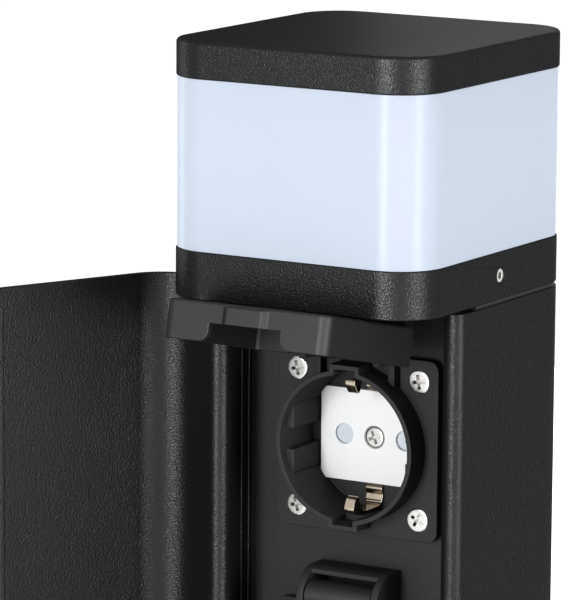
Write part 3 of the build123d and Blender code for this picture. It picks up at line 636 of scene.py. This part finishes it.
def add_piece(mesh: bpy.types.Mesh, name: str, slot: Slot, body: str, *nodes: str) -> None:
    """Puts a finished mesh in the scene as a piece of the post.

    Args:
        mesh: the mesh, in place, in metres.
        name: the piece's name.
        slot: the record's slot whose finish it wears.
        body: the CAD body it rides on.
        *nodes: the CAD nodes it stands for.
    """
    mesh.materials.clear()
    mesh.materials.append(PAINTS.get(slot))
    piece = new_object(name, mesh)
    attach(piece, body)
    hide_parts(*nodes)
    log.info("%s on %s: %d faces", name, body, len(mesh.polygons))


def merged_mesh(node: str) -> bpy.types.Mesh:
    """Copies a CAD node's mesh, with its loose triangles joined and flat areas made whole.

    Args:
        node: the node's name.

    Returns:
        The new mesh.
    """
    mesh = frame["nodes"][node].data.copy()
    shape = bmesh.new()
    shape.from_mesh(mesh)
    bmesh.ops.remove_doubles(shape, verts=shape.verts, dist=WELD_DISTANCE)
    bmesh.ops.dissolve_limit(shape, angle_limit=math.radians(FLAT_ANGLE), verts=shape.verts,
                             edges=shape.edges, use_dissolve_boundaries=False)
    shape.to_mesh(mesh)
    shape.free()
    return mesh


def baked_mesh(holder: bpy.types.Object) -> bpy.types.Mesh:
    """Applies an object's modifiers and removes the object.

    Args:
        holder: the object.

    Returns:
        What its modifiers made, as a plain mesh.
    """
    graph = bpy.context.evaluated_depsgraph_get()
    mesh = bpy.data.meshes.new_from_object(holder.evaluated_get(graph), depsgraph=graph)
    holder.modifiers.clear()
    bpy.data.objects.remove(holder)
    return mesh


def smooth_faces(mesh: bpy.types.Mesh) -> None:
    """Shades every face of a mesh smooth."""
    for polygon in mesh.polygons:
        polygon.use_smooth = True


def rounded_mesh(source: bpy.types.Mesh, width: float, segments: int = 2) -> bpy.types.Mesh:
    """Rounds a mesh's sharp edges and shades the rest smooth.

    Args:
        source: the mesh, which is used up.
        width: how far the rounding reaches from each edge, in metres.
        segments: the number of facets across each rounded edge.

    Returns:
        The rounded mesh.
    """
    smooth_faces(source)
    holder = new_object("rounding", source)
    rounding = holder.modifiers.new("round", "BEVEL")
    rounding.limit_method = "ANGLE"
    rounding.angle_limit = math.radians(ROUNDED_ANGLE)
    rounding.width = width
    rounding.segments = segments
    rounding.use_clamp_overlap = False
    rounding.harden_normals = False
    even = holder.modifiers.new("even", "WEIGHTED_NORMAL")
    even.weight = LARGE_FACE_WEIGHT
    even.keep_sharp = True
    return baked_mesh(holder)


def dress_node(node: str, name: str, width: float, segments: int = 2) -> None:
    """Stands a rounded, smooth copy in a CAD node's place.

    Args:
        node: the node's name.
        name: the new piece's name.
        width: the rounding of its edges, in metres.
        segments: the number of facets across each rounded edge.
    """
    mesh = rounded_mesh(merged_mesh(node), width, segments)
    add_piece(mesh, name, slot_of(node), body_of(node), node)


def paint_nodes(*nodes: str) -> None:
    """Gives CAD nodes that stay their own finish.

    Args:
        *nodes: the nodes' names.
    """
    for node in nodes:
        materials = frame["nodes"][node].data.materials
        materials.clear()
        materials.append(PAINTS.get(slot_of(node)))


# Screws, made by one tree of Geometry Nodes


@dataclass(frozen=True)
class CrossHeadScrew:
    """Sizes of a pan-head screw with a cross recess, in metres, and its turns' seed."""

    head_radius: float
    head_height: float
    shank_length: float
    recess_length: float
    recess_width: float
    recess_depth: float
    seed: int
    shank_radius: float = 1.5 * MM

    @staticmethod
    def labels() -> dict[str, str]:
        """Gives the tree's input label of each size, by field name."""
        return {f.name: f.name.replace("_", " ").title() for f in fields(CrossHeadScrew)}

    def inputs(self) -> dict[str, float]:
        """Gives the sizes by the tree's input labels."""
        return {label: getattr(self, name) for name, label in self.labels().items()}


class ScrewTree(NodeWeb):
    """A tree that puts a cross-head screw on each point of a mesh, each turned by chance."""

    head_facets = 40
    head_rings = 20
    shank_facets = 20

    def __init__(self) -> None:
        """Builds the tree."""
        super().__init__(bpy.data.node_groups.new("CrossHeadScrews", "GeometryNodeTree"))
        kinds = {"Geometry": "Geometry", **dict.fromkeys(CrossHeadScrew.labels().values(), "Float"),
                 "Seed": "Int", "Material": "Material"}
        face = self.tree.interface
        for label, kind in kinds.items():
            face.new_socket(name=label, in_out="INPUT", socket_type=f"NodeSocket{kind}")
        face.new_socket(name="Geometry", in_out="OUTPUT", socket_type="NodeSocketGeometry")
        self.fill()

    def flattened(self) -> bpy.types.NodeSocket:
        """Gives a unit sphere's points the height sqrt(1 - r^16), as on a flat pan head.

        Returns:
            The points' new places.
        """
        place = self.add("GeometryNodeInputPosition").outputs[0]
        x, y, z = self.add("ShaderNodeSeparateXYZ", Vector=place).outputs
        square = self.math("ADD", self.math("MULTIPLY", x, x), self.math("MULTIPLY", y, y))
        fourth = self.math("MULTIPLY", square, square)
        eighth = self.math("MULTIPLY", fourth, fourth)
        stretch = self.math("ADD", square, 1.0)
        for power in (fourth, eighth):
            stretch = self.math("MULTIPLY", stretch, self.math("ADD", power, 1.0))
        return self.vector(x, y, self.math("MULTIPLY", z, self.math("SQRT", stretch)))

    def fill(self) -> None:
        """Fills the tree: flat-topped dome less cross, plus shank, on each point."""
        given = self.add("NodeGroupInput").outputs
        ball = self.add("GeometryNodeMeshUVSphere", Segments=self.head_facets,
                        Rings=self.head_rings, Radius=1.0)
        pan = self.add("GeometryNodeSetPosition", Geometry=ball.outputs["Mesh"],
                       Position=self.flattened())
        size = self.vector(given["Head Radius"], given["Head Radius"], given["Head Height"])
        dome = self.add("GeometryNodeTransform", Geometry=pan.outputs[0], Scale=size)
        cut = self.add("GeometryNodeMeshBoolean", {"operation": "DIFFERENCE", "solver": "EXACT"},
                       Mesh_1=dome.outputs[0])
        top = self.vector(0.0, 0.0, given["Head Height"])
        deep = self.math("MULTIPLY", given["Recess Depth"], 2.0)
        for first, second in (("Recess Length", "Recess Width"), ("Recess Width", "Recess Length")):
            bar = self.add("GeometryNodeMeshCube",
                           Size=self.vector(given[first], given[second], deep))
            lift = self.add("GeometryNodeTransform", Geometry=bar.outputs["Mesh"], Translation=top)
            self.feed(cut, "Mesh 2", lift.outputs[0])
        rod = self.add("GeometryNodeMeshCylinder", Vertices=self.shank_facets,
                       Radius=given["Shank Radius"], Depth=given["Shank Length"])
        down = self.vector(0.0, 0.0, self.math("MULTIPLY", given["Shank Length"], -0.5))
        shank = self.add("GeometryNodeTransform", Geometry=rod.outputs["Mesh"], Translation=down)
        whole = self.add("GeometryNodeJoinGeometry", Geometry=cut.outputs["Mesh"])
        self.feed(whole, "Geometry", shank.outputs[0])
        turn = self.add("FunctionNodeRandomValue", {"data_type": "FLOAT_VECTOR"},
                        Seed=given["Seed"])
        for number, most in ((0, 0.0), (1, math.pi / 2)):
            self.feed(turn, number, (0.0, 0.0, most))
        placed = self.add("GeometryNodeInstanceOnPoints", Points=given["Geometry"],
                          Instance=whole.outputs[0], Rotation=turn.outputs[0])
        real = self.add("GeometryNodeRealizeInstances", Geometry=placed.outputs[0])
        dressed = self.add("GeometryNodeSetMaterial", Geometry=real.outputs[0],
                           Material=given["Material"])
        self.add("NodeGroupOutput", Geometry=dressed.outputs[0])

    def mesh(self, screw: CrossHeadScrew, seats: list[Point], slot: Slot) -> bpy.types.Mesh:
        """Runs the tree.

        Args:
            screw: the screw's sizes.
            seats: the middles of the heads' seats. Z is the way the heads face.
            slot: the finish the screws wear.

        Returns:
            One mesh with all the screws.
        """
        points = bpy.data.meshes.new("seats")
        points.from_pydata([Vector(seat) for seat in seats], [], [])
        holder = new_object("seats", points)
        modifier = holder.modifiers.new("screws", "NODES")
        modifier.node_group = self.tree
        sockets = {item.name: item.identifier for item in self.tree.interface.items_tree
                   if item.in_out == "INPUT"}
        for label, value in {**screw.inputs(), "Material": PAINTS.get(slot)}.items():
            modifier[sockets[label]] = value
        mesh = baked_mesh(holder)
        smooth_faces(mesh)
        mesh.set_sharp_from_angle(angle=math.radians(CREASE_ANGLE))
        return mesh


# Insert and shutters


def add_prism(shape: bmesh.types.BMesh, outline: list[tuple[float, float]], low: float,
              high: float) -> None:
    """Adds a closed prism.

    Args:
        shape: what it is added to.
        outline: its corners, turning left.
        low: the height of its lower end.
        high: the height of its upper end.
    """
    rows = [[shape.verts.new((x, y, z)) for x, y in outline] for z in (low, high)]
    for i in range(len(outline)):
        shape.faces.new((rows[0][i - 1], rows[0][i], rows[1][i], rows[1][i - 1]))
    shape.faces.new(rows[1])
    shape.faces.new(rows[0][::-1])


def box_outline(left: float, right: float, low: float, high: float,
                corner: float = 0.0) -> list[tuple[float, float]]:
    """Gives a rectangle's corners, each cut off by the same length if asked for.

    Args:
        left: its least x.
        right: its greatest x.
        low: its least y.
        high: its greatest y.
        corner: how much of each side its cut corners take.

    Returns:
        The corners, turning left.
    """
    if not corner:
        return [(left, low), (right, low), (right, high), (left, high)]
    return [(left + corner, low), (right - corner, low), (right, low + corner),
            (right, high - corner), (right - corner, high), (left + corner, high),
            (left, high - corner), (left, low + corner)]


def round_outline(x: float, y: float, radius: float) -> list[tuple[float, float]]:
    """Gives a circle's corners, turning left."""
    turns = [2 * math.pi * i / ROUND_FACETS for i in range(ROUND_FACETS)]
    return [(x + radius * math.cos(t), y + radius * math.sin(t)) for t in turns]


def finished_mesh(shape: bmesh.types.BMesh, name: str) -> bpy.types.Mesh:
    """Turns a finished shape into a mesh whose faces look outward.

    Args:
        shape: the shape, which is used up.
        name: the mesh's name.

    Returns:
        The mesh.
    """
    bmesh.ops.recalc_face_normals(shape, faces=shape.faces)
    mesh = bpy.data.meshes.new(name)
    shape.to_mesh(mesh)
    shape.free()
    return mesh


def carved_mesh(source: bpy.types.Mesh, cutters: list[bpy.types.Mesh]) -> bpy.types.Mesh:
    """Cuts closed meshes out of another.

    Args:
        source: the mesh that is cut.
        cutters: what is taken away, one after the other.

    Returns:
        The cut mesh.
    """
    holder = new_object("carving", source)
    tools = [new_object("cutter", cutter) for cutter in cutters]
    for tool in tools:
        cut = holder.modifiers.new("cut", "BOOLEAN")
        cut.operation = "DIFFERENCE"
        cut.solver = "EXACT"
        cut.object = tool
    mesh = baked_mesh(holder)
    for tool in tools:
        bpy.data.objects.remove(tool)
    return mesh


@dataclass(frozen=True)
class PinFace:
    """The white insert with its two pin holes, and the shutters that slide behind its thin lip.

    All places are in the socket's own frame (across, up, outward), in metres.
    """

    number: int
    middle: float
    panel_y: float
    corner: float = 1.6 * MM
    hole_radius: float = 2.8 * MM
    shank_radius: float = 1.6 * MM
    head_bore: float = 3.2 * MM
    head_depth: float = 1.6 * MM
    lip: float = 0.75 * MM
    slot_margin: float = 0.6 * MM
    slide_gap: float = 0.15 * MM
    travel: float = 6.2 * MM
    lead_in: float = 0.4 * MM
    insert_round: float = 0.2 * MM
    shutter_round: float = 0.1 * MM
    overrun: float = 1.0 * MM

    def span(self, node: str) -> tuple[Vector, Vector]:
        """Gives a node's box in the socket's frame.

        Args:
            node: the node's name, without its socket's number.

        Returns:
            The box's lowest and highest corner.
        """
        low, high = node_box(f"{node}_{self.number}")
        return (Vector((low.x, low.z - self.middle, self.panel_y - high.y)),
                Vector((high.x, high.z - self.middle, self.panel_y - low.y)))

    def insert(self) -> bpy.types.Mesh:
        """Makes the insert, hollow behind each hole so that the shutter has room to slide.

        Returns:
            The insert.
        """
        low, high = self.span("socket_insert")
        under, over = low.z - self.overrun, high.z + self.overrun
        plate, slots, holes = bmesh.new(), bmesh.new(), bmesh.new()
        add_prism(plate, box_outline(low.x, high.x, low.y, high.y, self.corner), low.z, high.z)
        add_prism(slots, round_outline(0.0, 0.0, self.head_bore), high.z - self.head_depth, over)
        add_prism(holes, round_outline(0.0, 0.0, self.shank_radius), under, over)
        reach = self.slot_margin + self.slide_gap
        for node in ("shutter_left", "shutter_right"):
            left, right = self.span(node)
            slot = box_outline(left.x - reach, right.x + reach, left.y - self.slide_gap,
                               right.y + self.travel + self.slide_gap)
            add_prism(slots, slot, under, high.z - self.lip)
            add_prism(holes, round_outline((left.x + right.x) / 2, 0.0, self.hole_radius),
                      under, over)
        cutters = [finished_mesh(slots, "slots"), finished_mesh(holes, "holes")]
        return rounded_mesh(carved_mesh(finished_mesh(plate, "insert"), cutters), self.insert_round)

    def shutter(self, node: str) -> bpy.types.Mesh:
        """Makes a shutter: its plate, and a pad under the insert's lip with a sloped lead-in.

        Args:
            node: the shutter's node, without its socket's number.

        Returns:
            The shutter.
        """
        face = self.span("socket_insert")[1].z - self.lip - self.slide_gap
        low, high = self.span(node)
        shape = bmesh.new()
        tip = (high.y + low.y) / 2 - self.hole_radius / 2
        foot = high.z - self.slide_gap
        outline = [(low.y, foot), (high.y, foot), (high.y, face), (tip, face),
                   (low.y, face - self.lead_in)]
        add_prism(shape, outline, low.x - self.slot_margin, high.x + self.slot_margin)
        add_prism(shape, box_outline(low.y, high.y, low.z, high.z), low.x, high.x)
        # The prisms stand on (up, outward) and reach across, so their axes are put in order.
        shape.transform(Matrix(((0, 0, 1, 0), (1, 0, 0, 0), (0, 1, 0, 0), (0, 0, 0, 1))))
        return rounded_mesh(finished_mesh(shape, "shutter"), self.shutter_round)


# Earth clips


@dataclass(frozen=True)
class SpringClip:
    """A rolled strip contact, drawn from its foot to its tip.

    Each point of its course is how far out from the panel, how far from the socket's middle and
    half the strip's width there, in millimetres.
    """

    thickness: float = 0.45
    steps: int = 5
    course: tuple[Point, ...] = (
        (-8.4, 13.2, 2.6), (-7.3, 13.4, 2.6), (-6.6, 14.1, 2.6), (-6.75, 15.0, 2.6),
        (-7.2, 15.7, 2.6), (-7.0, 16.5, 2.6), (-6.8, 17.2, 2.6), (-6.6, 18.1, 2.5),
        (-5.2, 18.9, 2.1), (-1.0, 19.2, 1.6), (1.6, 18.8, 1.5), (3.0, 17.2, 1.5),
        (3.9, 15.3, 1.5), (4.6, 14.5, 1.5), (5.4, 14.8, 1.5), (6.2, 15.9, 1.5),
        (6.8, 17.2, 1.5), (6.6, 18.2, 1.5),
    )

    def curve(self) -> list[Vector]:
        """Gives the smooth course through all its points."""
        ends = [Vector(p) for p in (self.course[0], *self.course, self.course[-1])]
        line = []
        for a, b, c, d in zip(ends, ends[1:], ends[2:], ends[3:]):
            for step in range(self.steps):
                t = step / self.steps
                line.append(0.5 * (2 * b + (c - a) * t + (2 * a - 5 * b + 4 * c - d) * t ** 2
                                   + (3 * b - a - 3 * c + d) * t ** 3))
        return [*line, ends[-1]]

    def mesh(self) -> bpy.types.Mesh:
        """Makes the upper and the lower clip in the socket's own frame."""
        line = self.curve()
        shape = bmesh.new()
        rows = []
        for before, here, after in zip([line[0], *line], line, [*line[1:], line[-1]]):
            way = (after - before).to_2d().normalized() * self.thickness / 2
            rows.append([
                shape.verts.new((side * here.z, here.y + lift * way.x, here.x - lift * way.y))
                for side, lift in ((-1, -1), (1, -1), (1, 1), (-1, 1))])
        for low, high in zip(rows, rows[1:]):
            for i in range(4):
                shape.faces.new((low[i], low[i - 1], high[i - 1], high[i]))
        for end in (rows[0], rows[-1]):
            shape.faces.new(end)
        upper = list(shape.verts)
        copy = bmesh.ops.duplicate(shape, geom=[*upper, *shape.edges, *shape.faces])["geom"]
        lower = [item for item in copy if isinstance(item, bmesh.types.BMVert)]
        bmesh.ops.rotate(shape, verts=lower, matrix=Matrix.Rotation(math.pi, 3, "Z"))
        bmesh.ops.scale(shape, verts=shape.verts, vec=(MM, MM, MM))
        return finished_mesh(shape, "clips")


# Sub-assemblies


@dataclass
class Housing:
    """The extruded post with its panel and foot."""

    wall_round: float = 0.35 * MM
    panel_round: float = 0.2 * MM
    foot_round: float = 0.8 * MM

    def build(self) -> None:
        """Dresses the housing's pieces."""
        dress_node("post_body", "housing_shell", self.wall_round)
        dress_node("socket_panel", "bay_panel", self.panel_round)
        dress_node("foot_plate", "foot_casting", self.foot_round)
        paint_nodes("foot_screws", "head_plate", "head_screws", "head_seal")


@dataclass
class DoorLeaf:
    """The door with its catch, keeper and pivots."""

    leaf_round: float = 0.35 * MM
    small_round: float = 0.2 * MM

    def build(self) -> None:
        """Dresses the door's pieces."""
        dress_node("door", "door_leaf", self.leaf_round)
        dress_node("door_catch", "catch_body", self.small_round)
        dress_node("door_keeper", "catch_keeper", self.small_round)
        paint_nodes("door_bushes", "door_pins")


@dataclass
class LightHead:
    """The cap, sleeve and base of the light, with what holds them together."""

    shell_round: float = 0.45 * MM
    sleeve_round: float = 0.15 * MM
    screw_round: float = 0.15 * MM

    def build(self) -> None:
        """Dresses the light head's pieces."""
        dress_node("lamp_cap", "light_cap", self.shell_round, segments=3)
        dress_node("lamp_base", "light_base", self.shell_round, segments=3)
        dress_node("diffuser", "light_sleeve", self.sleeve_round)
        dress_node("grub_screws", "base_grub_screws", self.screw_round)
        paint_nodes("lower_gasket", "upper_gasket", "led_tray", "led_board", "led_chips",
                    "spacer_tube", "tie_rod", "head_bracket")


@dataclass
class SocketUnit:
    """One socket with its lid. Its own heights are measured outward from the panel."""

    number: int
    height: float
    screws: ScrewTree
    panel_y: float = -2.0 * MM
    screw_pitch: float = 38.0 * MM
    flange_seat: float = 1.8 * MM
    insert_seat: float = -7.7 * MM
    frame_round: float = 0.25 * MM
    lid_round: float = 0.3 * MM
    clip_round: float = 0.1 * MM
    flange_screw: CrossHeadScrew = CrossHeadScrew(
        head_radius=3.6 * MM, head_height=1.4 * MM, shank_length=7.0 * MM,
        recess_length=4.0 * MM, recess_width=0.95 * MM, recess_depth=1.6 * MM, seed=4)
    middle_screw: CrossHeadScrew = CrossHeadScrew(
        head_radius=3.15 * MM, head_height=1.4 * MM, shank_length=14.0 * MM,
        recess_length=3.8 * MM, recess_width=0.9 * MM, recess_depth=1.5 * MM, seed=9)

    def stand(self) -> Matrix:
        """Gives the turn from the socket's own frame (across, up, outward) to the post's."""
        return Matrix((
            (1.0, 0.0, 0.0, 0.0),
            (0.0, 0.0, -1.0, self.panel_y),
            (0.0, 1.0, 0.0, self.height),
            (0.0, 0.0, 0.0, 1.0),
        ))

    def build_screws(self) -> None:
        """Makes the flange's screws and the middle screw."""
        half = self.screw_pitch / 2
        corners = [(x, y, self.flange_seat) for x in (-half, half) for y in (-half, half)]
        jobs = (
            (self.flange_screw, corners, "flange_screws", "frame_screws"),
            (self.middle_screw, [(0.0, 0.0, self.insert_seat)], "middle_screw", "insert_screw"),
        )
        for screw, seats, name, node in jobs:
            mesh = self.screws.mesh(screw, seats, Slot.ZINC_STEEL)
            mesh.transform(self.stand())
            add_piece(mesh, f"socket_{self.number}_{name}", Slot.ZINC_STEEL, "post",
                      f"{node}_{self.number}")

    def build(self) -> None:
        """Dresses the socket's pieces."""
        n = self.number
        dress_node(f"socket_frame_{n}", f"socket_{n}_moulding", self.frame_round)
        face = PinFace(n, self.height, self.panel_y)
        jobs = [("socket_insert", face.insert())]
        jobs += [(node, face.shutter(node)) for node in ("shutter_left", "shutter_right")]
        for kind, mesh in jobs:
            node = f"{kind}_{n}"
            mesh.transform(self.stand())
            add_piece(mesh, f"{kind}_visual_{n}", slot_of(node), body_of(node), node)
        dress_node(f"flap_lid_{n}", f"lid_{n}_shell", self.lid_round)
        dress_node(f"flap_seal_{n}", f"lid_{n}_seal", self.frame_round)
        clips = SpringClip().mesh()
        clips.transform(self.stand())
        add_piece(rounded_mesh(clips, self.clip_round), f"socket_{n}_earth_clips",
                  Slot.SPRING_METAL, "post", f"earth_clips_{n}")
        dress_node(f"flap_pin_{n}", f"lid_{n}_pin", self.clip_round)
        self.build_screws()
        paint_nodes(f"socket_gasket_{n}", f"socket_contacts_{n}", f"terminal_housing_{n}")


@dataclass
class SupplyGear:
    """The cable gland, terminals and lamp driver inside the post."""

    gland_round: float = 0.3 * MM

    def build(self) -> None:
        """Dresses what lies behind the panel and in the foot."""
        dress_node("gland_nut", "gland_cap_nut", self.gland_round)
        paint_nodes("gland_body", "gland_seal", "earth_stud", "terminal_rail", "terminal_block",
                    "terminal_screws", "mounting_screws", "led_driver")


# Studio


@dataclass(frozen=True)
class Softbox:
    """One soft lamp, stood on a circle round what it is aimed at and at its height.

    The azimuth is in degrees from the post's front towards its right, lengths are in metres and
    the power is in watts.
    """

    name: str
    azimuth: float
    distance: float
    width: float
    height: float
    power: float

    def build(self, middle: Vector) -> None:
        """Puts the lamp in the scene.

        Args:
            middle: the point it is aimed at.
        """
        turn = math.radians(self.azimuth)
        away = Vector((math.sin(turn), -math.cos(turn), 0.0)) * self.distance
        lamp = bpy.data.lights.new(self.name, "AREA")
        lamp.shape = "RECTANGLE"
        lamp.size = self.width
        lamp.size_y = self.height
        lamp.energy = self.power
        item = new_object(self.name, lamp)
        item.location = middle + away
        item.rotation_euler = (-away).to_track_quat("-Z", "Y").to_euler()


@dataclass
class Studio:
    """Camera, lamps, sky and floor. Angles are in degrees and lengths in metres."""

    azimuth: float = 30.96
    elevation: float = 10.141
    roll: float = 0.391
    distance: float = 1.2427
    target: Point = (-0.0245, 0.0, 0.3248)
    lens: float = 272.5
    sensor: float = 36.0
    sight: float = 100.0
    ambient: float = 0.48
    floor_colour: Colour = (0.62, 0.62, 0.62)
    floor_white: float = 1.02
    floor_size: float = 60.0
    floor_gap: float = 0.0005
    fibre_scale: float = 90.0
    fibre_shade: float = 0.99
    middle: Point = (0.0, 0.0, 0.32)
    lamps: tuple[Softbox, ...] = (
        Softbox("front", -5.0, 1.5, 0.32, 1.2, 24.0),
        Softbox("right", 74.0, 1.5, 0.42, 1.2, 22.0),
        Softbox("back", 201.0, 1.6, 0.50, 1.2, 9.0),
        Softbox("left", 266.0, 1.6, 0.40, 1.2, 10.0),
    )

    def build_camera(self) -> None:
        """Sets the camera where the photograph was taken from."""
        turn, lift, roll = (math.radians(v) for v in (self.azimuth, self.elevation, self.roll))
        back = Vector((math.sin(turn) * math.cos(lift), -math.cos(turn) * math.cos(lift),
                       math.sin(lift)))
        right = (-back).cross(Vector((0.0, 0.0, 1.0))).normalized()
        up = right.cross(-back)
        across = right * math.cos(roll) + up * math.sin(roll)
        above = up * math.cos(roll) - right * math.sin(roll)
        data = bpy.data.cameras.new("camera")
        data.lens = self.lens
        data.sensor_width = self.sensor
        data.clip_end = self.sight
        item = new_object("camera", data)
        place = Matrix.Translation(Vector(self.target) + back * self.distance)
        item.matrix_world = place @ Matrix((across, above, back)).transposed().to_4x4()
        bpy.context.scene.camera = item

    def build_sky(self) -> None:
        """Makes a white background that lights the post softly."""
        world = bpy.data.worlds.new("studio")
        bpy.context.scene.world = world
        world.use_nodes = True
        web = NodeWeb(world.node_tree)
        level = web.math("MAXIMUM", web.background_rays(), self.ambient)
        sky = web.add("ShaderNodeBackground", Color=WHITE, Strength=level)
        web.add("ShaderNodeOutputWorld", Surface=sky.outputs[0])

    def build_floor(self) -> None:
        """Lays a pale floor that keeps the post's shadow and is seen white where it is open."""
        half, z = self.floor_size / 2, -self.floor_gap
        mesh = bpy.data.meshes.new("floor")
        mesh.from_pydata([(-half, -half, z), (half, -half, z), (half, half, z), (-half, half, z)],
                         [], [(0, 1, 2, 3)])
        material = bpy.data.materials.new("floor_paper")
        material.use_nodes = True
        web = NodeWeb(material.node_tree)
        place = web.add("ShaderNodeTexCoord").outputs["Object"]
        fibre = web.add("ShaderNodeTexNoise", Vector=place, Scale=self.fibre_scale, Detail=4.0)
        low = tuple(c * self.fibre_shade for c in self.floor_colour)
        glow = self.floor_white - self.floor_colour[0] * self.ambient
        shader = web.add("ShaderNodeBsdfPrincipled", Roughness=0.9, Emission_Color=WHITE,
                         Base_Color=web.blend(fibre.outputs[0], low, self.floor_colour),
                         Emission_Strength=web.math("MULTIPLY", web.background_rays(), glow))
        web.add("ShaderNodeOutputMaterial", Surface=shader.outputs[0])
        mesh.materials.append(material)
        new_object("floor", mesh)

    def build(self) -> None:
        """Builds the studio."""
        bpy.context.scene.view_settings.view_transform = "Standard"
        self.build_camera()
        self.build_sky()
        self.build_floor()
        for lamp in self.lamps:
            lamp.build(Vector(self.middle))


def main() -> None:
    """Builds the looks of the whole post."""
    logging.basicConfig(level=logging.INFO, format="%(name)s: %(message)s")
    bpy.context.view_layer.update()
    Studio().build()
    Housing().build()
    DoorLeaf().build()
    LightHead().build()
    SupplyGear().build()
    screws = ScrewTree()
    mounts = {m["name"]: m["pos_m"] for m in frame["record"]["mounts"]}
    for number in (1, 2):
        SocketUnit(number, mounts[f"socket_{number}"][2], screws).build()
    log.info("done")


if __name__ == "__main__":
    main()
